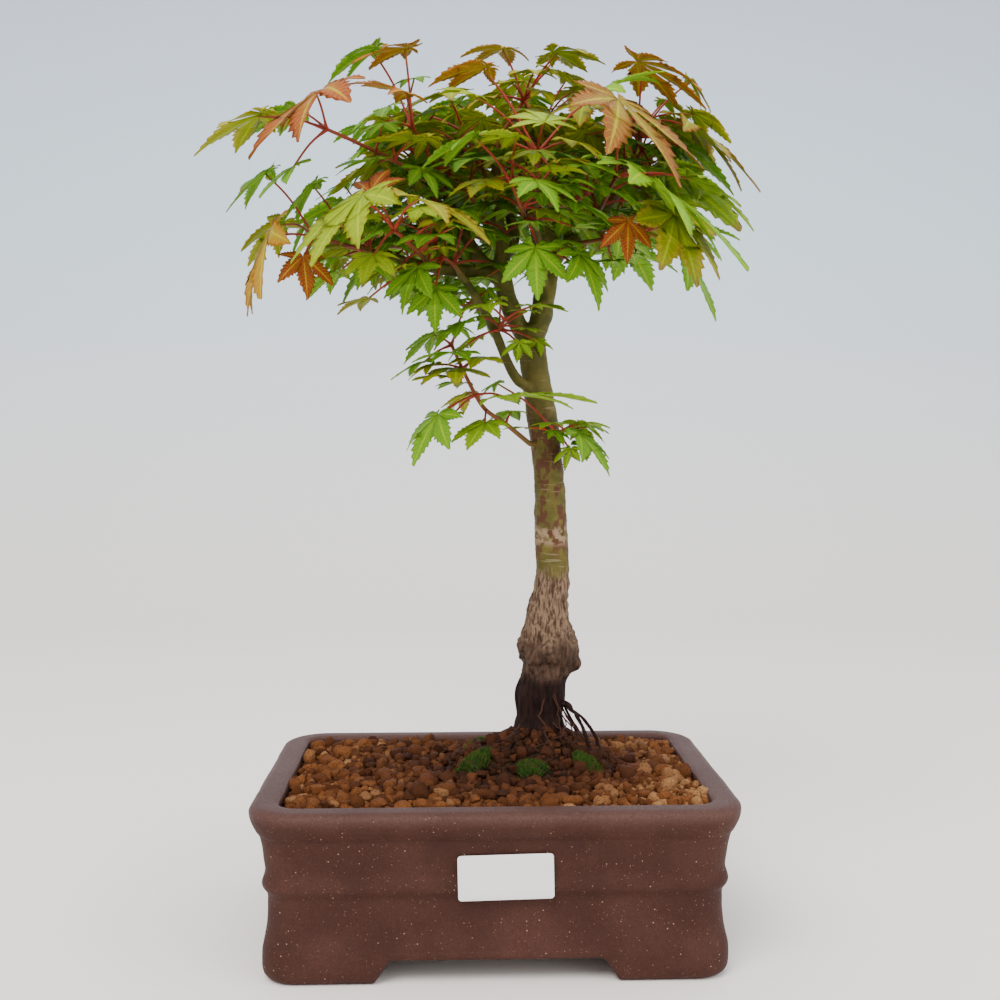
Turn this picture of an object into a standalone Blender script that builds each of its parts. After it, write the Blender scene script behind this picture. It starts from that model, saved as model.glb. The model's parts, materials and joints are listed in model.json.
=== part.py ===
"""A young Japanese maple bonsai in a rectangular unglazed clay pot.

Each separate piece is one named object. Sizes below are in millimetres, and MM turns them
into Blender's metres. The pot stands on z = 0 with its long side along X, its front faces -Y,
and heights in the tree's tables are measured up from the soil line.
"""

import math
import random
from collections import namedtuple

import bpy
import numpy as np
from mathutils import Vector
from mathutils.bvhtree import BVHTree

MM = 0.001
GAP = 0.3  # clearance between pieces that rest on each other

# ---------------------------------------------------------------- driving sizes

POT_LENGTH = 210.0
POT_WIDTH = 150.0
POT_HEIGHT = 74.0
RIM_WIDTH = 12.5
RIM_DEPTH = 8.0
RIM_CORNER = 22.0
BODY_CORNER = 13.0
INNER_CORNER = 9.0
WALL = 9.5
FLOOR = 8.0
FOOT_HEIGHT = 10.0
FOOT_LENGTH = 52.5
FOOT_WIDTH = 38.0
FOOT_SLOPE = 6.0
FOOT_FILLET = 3.0
DRAIN_RADIUS = 9.0
DRAIN_SPACING = 90.0

SCREEN_HOLES = 3
SCREEN_HOLE = 5.5
SCREEN_BAR = 2.2
SCREEN_THICKNESS = 1.2
WIRE_RADIUS = 0.7
CLIP_LEG = 7.0
CLIP_TOE = 14.0

TAG_WIDTH = 40.0
TAG_HEIGHT = 19.0
TAG_THICKNESS = 0.5
TAG_CORNER = 1.5
TAG_TILT = math.radians(1.2)
TAG_X = 3.5
TAG_BELOW_TOP = 28.0
TAG_INSET = 5.3  # the upper wall it leans on is this far in from the rim's widest line

SOIL_BELOW_RIM = 6.0
MOUND_X = 20.0
MOUND_Y = 8.0
MOUND_HALF_LENGTH = 46.0
MOUND_HALF_WIDTH = 34.0
MOUND_RISE = 21.0
GRANULES_UNDER_BALL = 10.0

TRUNK_SIDES = 12
BRANCH_SIDES = 7
ROOT_SIDES = 5

BLADE_THICKNESS = 0.9
PETIOLE_RADIUS = 0.75
STEM_RADIUS = 1.25
STEM_TIP_RADIUS = 0.8
LARGE_LEAF = 36.0  # above this middle lobe a blade has seven lobes, otherwise five
LEAF_SPACE = 0.35  # least distance kept between leaves of different shoots

INNER_FLOOR_Z = FOOT_HEIGHT + FLOOR
SOIL_Z = POT_HEIGHT - SOIL_BELOW_RIM
ROOT_BALL_DEPTH = SOIL_Z - INNER_FLOOR_Z - GRANULES_UNDER_BALL
WAIST_Z = POT_HEIGHT - 41.0  # the wall is drawn in furthest here, just under the raised band

# Outer wall of the pot from the table up: height, distance in from the rim's widest line.
LOWER_PROFILE = (
    (0.0, 9.0), (1.0, 7.4), (3.0, 6.1), (6.0, 5.6), (10.5, 5.6), (14.0, 6.0),
    ((14.0 + WAIST_Z) / 2 - 1.5, 7.5), (WAIST_Z, 8.0), (WAIST_Z + 3.5, 7.6), (WAIST_Z + 6.0, 6.2),
    (WAIST_Z + 8.0, 5.8), (WAIST_Z + 10.0, 6.2), (WAIST_Z + 13.0, 6.9), (WAIST_Z + 17.0, 6.6),
)
# The rim, from its underside over the top to the inside: depth below the top, distance in.
RIM_PROFILE = (
    (14.0, 5.0), (11.0, 3.0), (8.0, 1.0), (5.5, 0.2), (3.0, 0.0), (1.3, 0.9), (0.3, 2.8),
    (0.0, 5.0), (0.0, RIM_WIDTH - 2.5), (0.6, RIM_WIDTH - 0.7), (2.0, RIM_WIDTH),
)

# ---------------------------------------------------------------- the tree's shape

# Wood that grew as one: x, y, height above the soil line, radius.
WOOD = {
    "trunk": (
        (24, 15, 14, 11.0), (23, 15, 21, 12.6), (23, 15, 27, 11.2), (24, 15, 39, 11.6),
        (26, 15, 48, 11.0), (27.6, 15, 54, 13.6), (27.2, 15, 61, 15.0), (26.8, 15, 67, 12.2),
        (27, 15, 78, 10.0), (28.7, 15, 90, 8.4), (29.2, 15, 101, 7.9), (28.3, 15, 119, 8.0),
        (27.8, 15, 136, 7.3), (26.3, 15, 153, 7.2), (24, 16, 171, 7.4), (22.4, 17, 181, 7.0),
        (20, 18, 199, 6.5), (19, 18, 208, 6.7), (18, 18, 214, 5.5),
    ),
    "right_leader": (
        (19, 18, 204, 4.4), (23.5, 18, 217, 5.3), (24.9, 19, 226, 5.3), (26.3, 20, 235, 5.4),
        (28, 21, 243, 4.8), (29.2, 22, 252, 4.3), (25, 23, 260, 3.8), (21, 24, 266, 3.4),
        (17.2, 26, 276, 2.8),
    ),
    "right_arm": (
        (27, 20, 240, 3.4), (33, 23, 250, 3.7), (39.3, 26, 256, 3.5), (49.3, 32, 265, 3.1),
        (62.7, 38, 282, 2.6), (67.5, 42, 291, 2.2),
    ),
    "right_rear_arm": (
        (28, 21, 246, 3.2), (34, 36, 256, 3.0), (40, 52, 267, 2.5), (44, 66, 279, 2.0),
    ),
    "left_leader": (
        (18, 18, 205, 4.2), (11.3, 17, 217, 4.5), (7.7, 16, 226, 4.5), (5.3, 15, 235, 4.6),
        (4.8, 15, 242, 4.2), (5.3, 16, 252, 3.5), (2.9, 18, 265, 3.1), (6.2, 22, 275, 2.7),
        (1.9, 26, 290, 2.2),
    ),
    "left_arm": (
        (5.3, 15, 235, 3.4), (-3, 12, 238, 3.3), (-16.3, 8, 238.5, 3.0), (-30.7, 3, 240, 2.6),
        (-53, -6, 244, 2.0),
    ),
    "left_rear_arm": (
        (5, 15, 237, 3.2), (-7.2, 22, 241, 3.0), (-23, 32, 245, 2.6), (-31, 42, 250, 2.2),
        (-40, 54, 256, 1.9),
    ),
    "left_rising": (
        (3, 15, 239, 3.2), (-5.3, 17, 245, 3.3), (-11, 19, 254, 3.1), (-15.3, 22, 262, 2.8),
        (-20, 24, 274, 2.2),
    ),
    "middle_stem": (
        (5, 16, 244, 2.9), (11, 22, 256, 2.8), (8, 30, 273, 2.3), (9, 38, 284, 1.9),
    ),
    "front_arm": (
        (24.5, 18, 232, 2.8), (23, 8, 243, 2.7), (19, -8, 256, 2.3), (18, -24, 267, 1.9),
    ),
    "low_branch": (
        (21, 15, 182, 2.8), (10.5, 9, 190, 2.4), (1, 6, 211, 2.2), (-4, 3, 220, 2.1),
        (-10, 0, 229, 2.0), (-15, -3, 236, 1.8),
    ),
}

# Surface roots as bearings from the trunk with a reach and a radius, and their bend.
SURFACE_ROOTS = (
    (-190, 32, 3.0, 18), (-140, 32, 3.6, 15), (-96, 30, 4.0, 20), (-38, 28, 3.0, 14),
    (8, 26, 2.8, 15), (62, 20, 3.2, 15), (118, 22, 2.6, 20),
)
AERIAL_ROOTS = (
    ((31, 8, 39), (40, 4, 29), (44, 1, 20), (46, -1)),
    ((33, 10, 34), (43, 10, 27), (50, 9, 17), (51, 8)),
)
MOSS = (  # x, y, half length, half width, rise
    (-8, -8, 8, 5, 5), (17, -19, 7, 4, 4), (43, -12, 7, 4.5, 4), (-8, 24, 6, 5, 3.5),
    (38, 30, 7, 4.5, 3.5),
)

Leaf = namedtuple("Leaf", "x y z heading dip size tone")

# Shoots set by hand: branch, place along it, waypoints, then the leaves at its end. A leaf's
# heading runs counter-clockwise from +X as seen from above, and its dip is below the level.
SET_SHOOTS = (
    ("left_rising", 0.98, ((-30, 0, 279), (-52, -24, 286), (-72, -38, 292)), (
        Leaf(-72, -52, 305, -148, 36, 49, "coral"),
        Leaf(-94, -32, 296, -172, 26, 37, "yellow_green"),
        Leaf(-84, -50, 274, -150, 36, 24, "green"),
        Leaf(-88, -16, 306, 165, 12, 27, "green"))),
    ("left_rising", 1.0, ((-26, 10, 286), (-36, -18, 298)), (
        Leaf(-38, -54, 303, 148, -22, 29, "orange"),
        Leaf(-37, -24, 331, -165, 8, 27, "orange"),
        Leaf(-54, -14, 336, 178, 22, 29, "green"))),
    ("left_arm", 1.0, ((-66, -11, 247), (-80, -17, 250)), (
        Leaf(-99, -20, 252, -162, 66, 42, "amber"),
        Leaf(-84, -26, 240, -70, 62, 20, "red"),
        Leaf(-101, -8, 281, -172, 36, 29, "green"),
        Leaf(-97, 12, 262, 158, 34, 30, "yellow_green"))),
    ("left_arm", 0.62, ((-34, -20, 243), (-43, -48, 248)), (
        Leaf(-54, -76, 257, -138, 42, 42, "lime"),
        Leaf(-35, -76, 255, -22, 16, 38, "olive"),
        Leaf(-52, -60, 261, 70, -48, 21, "red"),
        Leaf(-51, -58, 236, -100, 34, 20, "lime"))),
    ("front_arm", 1.0, ((19, -34, 272), (18, -40, 282)), (
        Leaf(-3, -44, 317, 176, 4, 28, "orange"),
        Leaf(45, -34, 310, 28, -30, 33, "bright_green"),
        Leaf(19, -72, 287, 96, -34, 27, "lime"),
        Leaf(-8, -60, 301, 140, -24, 21, "lime"))),
    ("front_arm", 0.78, ((12, -24, 262), (7, -38, 270)), (
        Leaf(9, -66, 283, 152, -6, 20, "lime"),
        Leaf(-10, -58, 284, -172, 22, 27, "green"),
        Leaf(16, -62, 266, -60, 30, 24, "green"))),
    ("left_leader", 1.0, ((5, 20, 304), (15, 10, 318)), (
        Leaf(34, 22, 344, 78, -14, 27, "olive"),
        Leaf(6, 2, 340, 126, -6, 25, "amber"),
        Leaf(27, -8, 335, -4, 4, 26, "olive"))),
    ("right_arm", 1.0, ((71, 37, 301), (71, 22, 305), (68, 4, 307)), (
        Leaf(59, -20, 322, -8, 12, 43, "orange"),
        Leaf(88, -12, 303, -18, 36, 45, "rosy_green"),
        Leaf(92, 14, 300, 12, 30, 34, "green"))),
    ("right_arm", 0.5, ((52, 6, 270), (54, -22, 276)), (
        Leaf(50, -60, 300, -48, 42, 50, "rose"),
        Leaf(61, -60, 269, -22, 34, 57, "bright_green"))),
    ("right_arm", 0.28, ((52, 4, 253), (66, -22, 252)), (
        Leaf(84, -50, 254, -62, 68, 42, "olive"),
        Leaf(58, -34, 255, -84, 76, 19, "red"),
        Leaf(86, -6, 246, -24, 52, 36, "green"))),
    ("front_arm", 0.35, ((26, -8, 245), (24, -18, 246)), (
        Leaf(18, -28, 244, -96, 66, 26, "green"),
        Leaf(38, -24, 242, -40, 58, 28, "green"))),
    ("trunk", 0.72, ((6, 0, 167), (-3, -5, 173), (-8, -7, 180), (-14, -6, 192), (-19, -5, 203)), (
        Leaf(-17, -14, 192, -88, 10, 25, "yellow_green"),
        Leaf(2, -17, 179, -4, -6, 42, "light_green"),
        Leaf(-25, -17, 171, -142, 50, 27, "green"),
        Leaf(-14, -20, 212, -150, 30, 20, "green"))),
    ("trunk", 0.735, ((34, 2, 164), (37, -2, 164)), (
        Leaf(39, -10, 163, -30, 42, 27, "green"),
        Leaf(40, 4, 168, 40, 36, 18, "light_green"))),
    ("low_branch", 1.0, ((-19, -8, 240), (-23, -12, 242)), (
        Leaf(-34, -22, 236, -130, 54, 24, "green"),
        Leaf(-26, -28, 226, -100, 60, 21, "green"))),
)

# Shoots that follow the growth rule: branch, place along it, bearing, rise, length, leaf
# pairs, leaf size, tone. Bearings run counter-clockwise from +X as seen from above.
GROWN_SHOOTS = (
    ("left_rear_arm", 1.0, 150, 10, 34, 2, 34, "green"),
    ("left_rear_arm", 0.7, 105, 25, 36, 2, 32, "dark_green"),
    ("left_arm", 0.85, 165, 18, 30, 2, 31, "green"),
    ("left_arm", 0.45, -120, 20, 22, 1, 28, "dark_green"),
    ("left_rising", 0.72, 130, 40, 34, 2, 31, "dark_green"),
    ("left_rising", 0.9, 165, 50, 36, 2, 30, "green"),
    ("left_leader", 0.62, -150, 45, 26, 2, 27, "dark_green"),
    ("left_leader", 0.85, 175, 55, 34, 2, 28, "yellow_green"),
    ("middle_stem", 1.0, 110, 55, 32, 2, 32, "green"),
    ("middle_stem", 0.7, 95, 20, 42, 2, 33, "dark_green"),
    ("right_leader", 1.0, 60, 62, 40, 2, 31, "yellow_green"),
    ("right_leader", 0.8, -120, 52, 24, 1, 27, "dark_green"),
    ("right_rear_arm", 1.0, 70, 30, 28, 2, 34, "green"),
    ("right_rear_arm", 0.7, 20, 30, 34, 2, 32, "dark_green"),
    ("right_rear_arm", 0.55, 110, 22, 34, 2, 31, "dark_green"),
    ("right_arm", 0.85, 20, 30, 30, 2, 32, "green"),
    ("right_arm", 0.72, -40, 46, 30, 2, 30, "dark_green"),
    ("right_arm", 0.6, 95, 44, 34, 2, 30, "yellow_green"),
    ("right_arm", 0.4, 5, -2, 34, 2, 31, "green"),
    ("front_arm", 0.9, 8, 14, 26, 2, 28, "green"),
    ("front_arm", 0.6, 175, 8, 26, 1, 27, "green"),
    ("left_rear_arm", 0.45, -160, -8, 24, 1, 26, "dark_green"),
    ("low_branch", 0.75, 170, 12, 16, 1, 21, "green"),
    ("low_branch", 0.5, -70, 8, 13, 1, 19, "light_green"),
)

TONES = {
    "green": (0.13, 0.26, 0.04),
    "dark_green": (0.06, 0.15, 0.025),
    "bright_green": (0.20, 0.38, 0.05),
    "light_green": (0.32, 0.46, 0.11),
    "lime": (0.36, 0.46, 0.06),
    "yellow_green": (0.38, 0.40, 0.07),
    "olive": (0.26, 0.24, 0.05),
    "amber": (0.50, 0.30, 0.07),
    "orange": (0.55, 0.21, 0.06),
    "coral": (0.50, 0.13, 0.07),
    "rose": (0.42, 0.17, 0.10),
    "rosy_green": (0.24, 0.22, 0.07),
    "red": (0.36, 0.05, 0.03),
}

# ---------------------------------------------------------------- shape helpers


def unit(vector):
    return np.asarray(vector, float) / np.linalg.norm(vector)


def bearing_vector(bearing, rise):
    """Unit vector from a bearing and a rise above the level, both in degrees."""
    turn, lift = math.radians(bearing), math.radians(rise)
    level = math.cos(lift)
    return np.array([level * math.cos(turn), level * math.sin(turn), math.sin(lift)])


def smooth_path(points, step):
    """Catmull-Rom curve through rows of numbers, about one row each step along x, y, z."""
    rows = np.asarray(points, float)
    rows = np.vstack([2 * rows[0] - rows[1], rows, 2 * rows[-1] - rows[-2]])
    made = []
    for before, start, end, after in zip(rows, rows[1:], rows[2:], rows[3:]):
        count = max(1, round(float(np.linalg.norm(end[:3] - start[:3])) / step))
        for t in np.arange(count) / count:
            made.append(0.5 * (2 * start + (end - before) * t
                               + (2 * before - 5 * start + 4 * end - after) * t ** 2
                               + (3 * start - before - 3 * end + after) * t ** 3))
    made.append(rows[-2])
    return np.array(made)


def loft(rings):
    """Closed skin through rings of equally many points, with flat ends."""
    count = len(rings[0])
    faces = [tuple(reversed(range(count)))]
    for low in range(0, (len(rings) - 1) * count, count):
        for i in range(count):
            j = (i + 1) % count
            faces.append((low + i, low + j, low + count + j, low + count + i))
    last = (len(rings) - 1) * count
    faces.append(tuple(range(last, last + count)))
    return np.concatenate(rings), faces


def tube(path, radii, sides):
    """Closed tube round a path, its cross-sections carried along without twisting."""
    path = np.asarray(path, float)
    tangents = np.gradient(path, axis=0)
    tangents /= np.linalg.norm(tangents, axis=1)[:, None]
    across = unit(np.cross(tangents[0], (0.31, 0.95, 0.05)))
    turns = np.arange(sides) * 2 * math.pi / sides
    rings = []
    for point, tangent, radius in zip(path, tangents, np.broadcast_to(radii, len(path))):
        across = unit(across - tangent * across.dot(tangent))
        other = np.cross(tangent, across)
        ring = np.outer(np.cos(turns), across) + np.outer(np.sin(turns), other)
        rings.append(point + radius * ring)
    return loft(rings)


def rounded_rectangle(half_x, half_y, radius, z, steps=4):
    """Counter-clockwise ring at one height, with an arc at each corner."""
    rings = []
    for quarter, (sx, sy) in enumerate(((1, 1), (-1, 1), (-1, -1), (1, -1))):
        turn = (quarter + np.linspace(0, 1, steps + 1)) * math.pi / 2
        rings.append(np.column_stack([
            sx * (half_x - radius) + radius * np.cos(turn),
            sy * (half_y - radius) + radius * np.sin(turn),
            np.full(steps + 1, z)]))
    return np.concatenate(rings)


def material(name, colour, roughness, metallic=0.0):
    made = bpy.data.materials.new(name)
    made.use_nodes = True
    shader = made.node_tree.nodes["Principled BSDF"]
    shader.inputs["Base Color"].default_value = (*colour, 1.0)
    shader.inputs["Roughness"].default_value = roughness
    shader.inputs["Metallic"].default_value = metallic
    made.diffuse_color = (*colour, 1.0)
    return made


def add_object(name, shape, look=None, smooth_angle=None):
    """Object from points in millimetres and faces, shaded smooth below the given angle."""
    points, faces = shape
    mesh = bpy.data.meshes.new(name)
    mesh.from_pydata((np.asarray(points) * MM).tolist(), [], faces)
    if smooth_angle:
        mesh.shade_smooth()
        mesh.set_sharp_from_angle(angle=math.radians(smooth_angle))
    if look:
        mesh.materials.append(look)
    made = bpy.data.objects.new(name, mesh)
    bpy.context.scene.collection.objects.link(made)
    return made


def cut(target, cutter_shape, name):
    """Subtracts a shape from an object and keeps the cutter as a hidden helper."""
    cutter = add_object(name, cutter_shape)
    cutter.hide_render = True
    cutter.display_type = "WIRE"
    boolean = target.modifiers.new(name, "BOOLEAN")
    boolean.operation = "DIFFERENCE"
    boolean.object = cutter
    return cutter


def joined(name, shapes, look, smooth_angle=None):
    """One solid from overlapping closed shapes."""
    parts = bpy.data.collections.new(name + "_parts")
    bpy.context.scene.collection.children.link(parts)
    for shape in shapes[1:]:
        piece = add_object(name + "_piece", shape)
        bpy.context.scene.collection.objects.unlink(piece)
        parts.objects.link(piece)
    whole = add_object(name, shapes[0], look)
    union = whole.modifiers.new("union", "BOOLEAN")
    union.operation = "UNION"
    union.operand_type = "COLLECTION"
    union.collection = parts
    graph = bpy.context.evaluated_depsgraph_get()
    mesh = bpy.data.meshes.new_from_object(whole.evaluated_get(graph))
    whole.modifiers.clear()
    whole.data = mesh
    mesh.materials.clear()
    mesh.materials.append(look)
    if smooth_angle:
        mesh.shade_smooth()
        mesh.set_sharp_from_angle(angle=math.radians(smooth_angle))
    for piece in list(parts.objects):
        bpy.data.objects.remove(piece)
    bpy.data.collections.remove(parts)
    return whole


# ---------------------------------------------------------------- pot and tag


def pot_ring(z, inset, radius):
    return rounded_rectangle(POT_LENGTH / 2 - inset, POT_WIDTH / 2 - inset, radius, z)


def inner_profile():
    """The pot's inner wall from the rim's inner edge down to its floor: z, inset, corner."""
    foot = RIM_WIDTH + WALL - 6.5
    return (
        (POT_HEIGHT - RIM_DEPTH - 6.0, RIM_WIDTH + 0.4, INNER_CORNER),
        (INNER_FLOOR_Z + 5.0, foot, INNER_CORNER),
        (INNER_FLOOR_Z + 1.5, foot + 1.5, INNER_CORNER),
        (INNER_FLOOR_Z, foot + 5.0, INNER_CORNER - 2.0),
    )


def foot_gap(half_top, axis, reach):
    """Tunnel under the floor between two feet, with sloped ends and rounded top corners."""
    arc = np.linspace(0, math.pi / 2, 4)
    spring = FOOT_HEIGHT - FOOT_FILLET
    right = [(half_top + FOOT_SLOPE, -1.0)]
    right += [(half_top - FOOT_FILLET * (1 - math.cos(a)), spring + FOOT_FILLET * math.sin(a)) for a in arc]
    outline = right + [(-across, z) for across, z in reversed(right)]
    rings = []
    for end in (reach, -reach):
        rings.append(np.array([(across, end, z) for across, z in outline]))
    if axis == "X":
        rings = [ring[:, [1, 0, 2]] for ring in reversed(rings)]
    return loft(rings)


def make_pot():
    """Slab-built stoneware pot: wall and rim in one skin, then feet and drainage holes."""
    rings = [pot_ring(z, inset, BODY_CORNER) for z, inset in LOWER_PROFILE]
    for depth, inset in RIM_PROFILE:
        share = min(1.0, max(0.0, (RIM_WIDTH - inset) / RIM_WIDTH))
        corner = INNER_CORNER + share * (RIM_CORNER - INNER_CORNER)
        if depth > RIM_DEPTH:
            corner = BODY_CORNER
        rings.append(pot_ring(POT_HEIGHT - depth, inset, corner))
    rings += [pot_ring(*row) for row in inner_profile()]
    clay = material("brown_clay", (0.105, 0.052, 0.042), 0.55)
    pot = add_object("pot", loft(rings), clay, 40)
    cut(pot, foot_gap(POT_LENGTH / 2 - FOOT_LENGTH - FOOT_SLOPE, "Y", POT_WIDTH), "front_foot_gap")
    cut(pot, foot_gap(POT_WIDTH / 2 - FOOT_WIDTH - FOOT_SLOPE, "X", POT_LENGTH), "side_foot_gap")
    for side in (-1, 1):
        centre = np.array([side * DRAIN_SPACING / 2, 0, 0])
        bore = tube([centre, centre + (0, 0, POT_HEIGHT / 2)], DRAIN_RADIUS, 24)
        cut(pot, bore, "drain_bore")
    return pot


def make_tag():
    """Blank white card leaning on the pot's band and upper wall."""
    front = -(POT_WIDTH / 2 - TAG_INSET)
    tag_z = POT_HEIGHT - TAG_BELOW_TOP
    ring = rounded_rectangle(TAG_WIDTH / 2, TAG_HEIGHT / 2, TAG_CORNER, 0, 3)
    right = np.array([math.cos(TAG_TILT), math.sin(TAG_TILT)])
    upward = np.array([-math.sin(TAG_TILT), math.cos(TAG_TILT)])
    flat = np.outer(ring[:, 0], right) + np.outer(ring[:, 1], upward)
    rings = []
    for y in (front - GAP, front - GAP - TAG_THICKNESS):
        rings.append(np.column_stack([TAG_X + flat[:, 0], np.full(len(flat), y), tag_z + flat[:, 1]]))
    add_object("blank_tag", loft(rings), material("white_card", (0.80, 0.80, 0.78), 0.5))


# ---------------------------------------------------------------- inside the pot


def screen_span():
    return SCREEN_HOLES * SCREEN_HOLE + (SCREEN_HOLES + 1) * SCREEN_BAR


def net_sheet(x, z):
    """Square net: bars and holes laid out as cells, with walls wherever the two meet."""
    cells = 2 * SCREEN_HOLES + 1
    widths = [SCREEN_BAR if i % 2 == 0 else SCREEN_HOLE for i in range(cells)]
    lines = np.concatenate([[0], np.cumsum(widths)]) - screen_span() / 2
    solid = np.zeros((cells + 2, cells + 2), bool)
    solid[1:-1, 1:-1] = True
    solid[2:-1:2, 2:-1:2] = False
    size = cells + 1
    points = [(x + px, py, pz) for pz in (z, z + SCREEN_THICKNESS) for py in lines for px in lines]
    faces = []
    for i in range(cells):
        for j in range(cells):
            if not solid[i + 1, j + 1]:
                continue
            a, b, c, d = j * size + i, j * size + i + 1, (j + 1) * size + i + 1, (j + 1) * size + i
            up = size * size
            faces += [(d, c, b, a), (a + up, b + up, c + up, d + up)]
            sides = (((a, b), (0, -1)), ((b, c), (1, 0)), ((c, d), (0, 1)), ((d, a), (-1, 0)))
            for (p, q), (di, dj) in sides:
                if not solid[i + 1 + di, j + 1 + dj]:
                    faces.append((p, q, q + up, p + up))
    used = sorted({p for face in faces for p in face})
    order = {p: n for n, p in enumerate(used)}
    return np.array([points[p] for p in used]), [tuple(order[p] for p in face) for face in faces]


def make_drainage():
    """A plastic net over each drainage hole and the wire that is bent under the pot to hold it."""
    plastic = material("black_net", (0.02, 0.02, 0.02), 0.6)
    wire = material("aluminium_wire", (0.30, 0.28, 0.26), 0.4, 1.0)
    top = INNER_FLOOR_Z + GAP + SCREEN_THICKNESS + GAP + WIRE_RADIUS
    under = FOOT_HEIGHT - GAP - WIRE_RADIUS
    for side, word in ((-1, "left"), (1, "right")):
        x = side * DRAIN_SPACING / 2
        add_object("drain_screen_" + word, net_sheet(x, INNER_FLOOR_Z + GAP), plastic)
        path = [(x - CLIP_TOE, 0, under), (x - CLIP_LEG, 0, under), (x - CLIP_LEG, 0, top),
                (x + CLIP_LEG, 0, top), (x + CLIP_LEG, 0, under), (x + CLIP_TOE, 0, under)]
        add_object("screen_clip_" + word, tube(np.array(path), WIRE_RADIUS, 8), wire, 50)


def make_akadama_bed():
    """Granule fill from the pot's floor to the soil line, rising a little towards the mound."""
    rings = [pot_ring(z + GAP * (z == INNER_FLOOR_Z), inset + GAP, corner - GAP)
             for z, inset, corner in reversed(inner_profile())]
    edge = RIM_WIDTH + GAP
    rings.append(pot_ring(SOIL_Z, edge, INNER_CORNER - GAP))
    rings.append(pot_ring(SOIL_Z + 1.2, edge + 10, INNER_CORNER))
    rings.append(pot_ring(SOIL_Z + 2.0, edge + 25, INNER_CORNER))
    bed = add_object("akadama_bed", loft(rings), material("akadama", (0.27, 0.12, 0.05), 0.9), 40)
    cut(bed, root_ball_shape(GAP), "root_ball_space")
    room = screen_span() / 2 + GAP
    lid = INNER_FLOOR_Z + SCREEN_THICKNESS + 3 * GAP + 2 * WIRE_RADIUS
    for side in (-1, 1):
        ring = rounded_rectangle(room, room, 0.5, 0, 1) + (side * DRAIN_SPACING / 2, 0, 0)
        cut(bed, loft([ring + (0, 0, INNER_FLOOR_Z - 2), ring + (0, 0, lid)]), "screen_space")


def mound_height(x, y):
    """Height of the mound's surface: a rounded cone, level with the soil at its edge."""
    t = math.hypot((x - MOUND_X) / MOUND_HALF_LENGTH, (y - MOUND_Y) / MOUND_HALF_WIDTH)
    return SOIL_Z + 1.0 + MOUND_RISE * (1 - min(t, 1.0) ** 1.6)


def root_ball_shape(grow=0.0):
    """The root ball's block below the soil and its mound above, as rings of an oval."""
    turns = np.arange(22) * 2 * math.pi / 22
    low = SOIL_Z - ROOT_BALL_DEPTH
    sizes = [(low - grow, 0.72), (low + 2.5, 0.86), (low + 8.0, 0.96), (low + 16.0, 1.0)]
    sizes += [(SOIL_Z + 1.0, 1.0)]
    if grow:
        sizes += [(POT_HEIGHT + MOUND_RISE, 1.0)]
    else:
        sizes += [(SOIL_Z + 1.0 + MOUND_RISE * (1 - t ** 1.6), t) for t in (0.9, 0.75, 0.55, 0.35, 0.15)]
    rings = []
    for z, share in sizes:
        rings.append(np.column_stack([
            MOUND_X + (MOUND_HALF_LENGTH * share + grow) * np.cos(turns),
            MOUND_Y + (MOUND_HALF_WIDTH * share + grow) * np.sin(turns),
            np.full(len(turns), z)]))
    return loft(rings)


def make_root_ball():
    """Old soil bound by fine roots, with the hollow that the trunk's foot grew into."""
    ball = add_object("root_ball", root_ball_shape(), material("dark_soil", (0.055, 0.028, 0.014), 0.9), 40)
    foot = wood_path("trunk")[:6]
    cut(ball, tube(foot[:, :3] - (0, 0, GAP), foot[:, 3] + 2 * GAP, TRUNK_SIDES), "trunk_socket")


def make_moss():
    """Low cushions that follow the mound's surface."""
    look = material("moss", (0.05, 0.13, 0.012), 0.95)
    for number, (x, y, half_x, half_y, rise) in enumerate(MOSS, 1):
        turns = np.arange(10) * 2 * math.pi / 10
        rings = []
        for share, lift in ((0.45, 0.0), (0.9, 0.0), (1.0, 0.18), (0.85, 0.62), (0.5, 0.95), (0.2, 1.0)):
            ring = []
            for turn in turns:
                px = x + half_x * share * math.cos(turn)
                py = y + half_y * share * math.sin(turn)
                ring.append((px, py, mound_height(px, py) + GAP + 0.2 + rise * lift))
            rings.append(np.array(ring))
        add_object(f"moss_patch_{number}", loft(rings), look, 60)


# ---------------------------------------------------------------- trunk, branches and roots


def wood_path(name):
    """Rows of x, y, z and radius along a piece of the wood, in the pot's own frame."""
    return smooth_path(WOOD[name], 9.0 if name == "trunk" else 11.0) + (0, 0, SOIL_Z, 0)


def surface_root(bearing, reach, radius, bend):
    """Root that leaves the trunk's foot and lies on the mound, swinging by bend degrees."""
    x, y, _, _ = WOOD["trunk"][1]
    rows = []
    for share in (0.1, 0.3, 0.5, 0.7, 0.85, 1.0):
        turn = math.radians(bearing + bend * share)
        px = x + reach * share * math.cos(turn)
        py = y + reach * share * math.sin(turn)
        size = radius * (1.15 - 0.75 * share)
        rows.append((px, py, mound_height(px, py) + size + GAP + 0.2, size))
    return smooth_path(rows, 5.0)


def aerial_root(waypoints):
    """Thin root from the bark down to the mound."""
    rows = [(x, y, z + SOIL_Z, 1.0) for x, y, z in waypoints[:-1]]
    x, y = waypoints[-1]
    rows.append((x, y, mound_height(x, y) + 1.0 + GAP, 0.9))
    return smooth_path(rows, 6.0)


def wood_shapes():
    """The trunk's tube first, then every branch and root that grew from it."""
    shapes = []
    for name in WOOD:
        path = wood_path(name)
        shapes.append(tube(path[:, :3], path[:, 3], TRUNK_SIDES if name == "trunk" else BRANCH_SIDES))
    for row in SURFACE_ROOTS:
        path = surface_root(*row)
        shapes.append(tube(path[:, :3], path[:, 3], ROOT_SIDES))
    for waypoints in AERIAL_ROOTS:
        path = aerial_root(waypoints)
        shapes.append(tube(path[:, :3], path[:, 3], ROOT_SIDES))
    return shapes


# ---------------------------------------------------------------- leafy shoots


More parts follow.
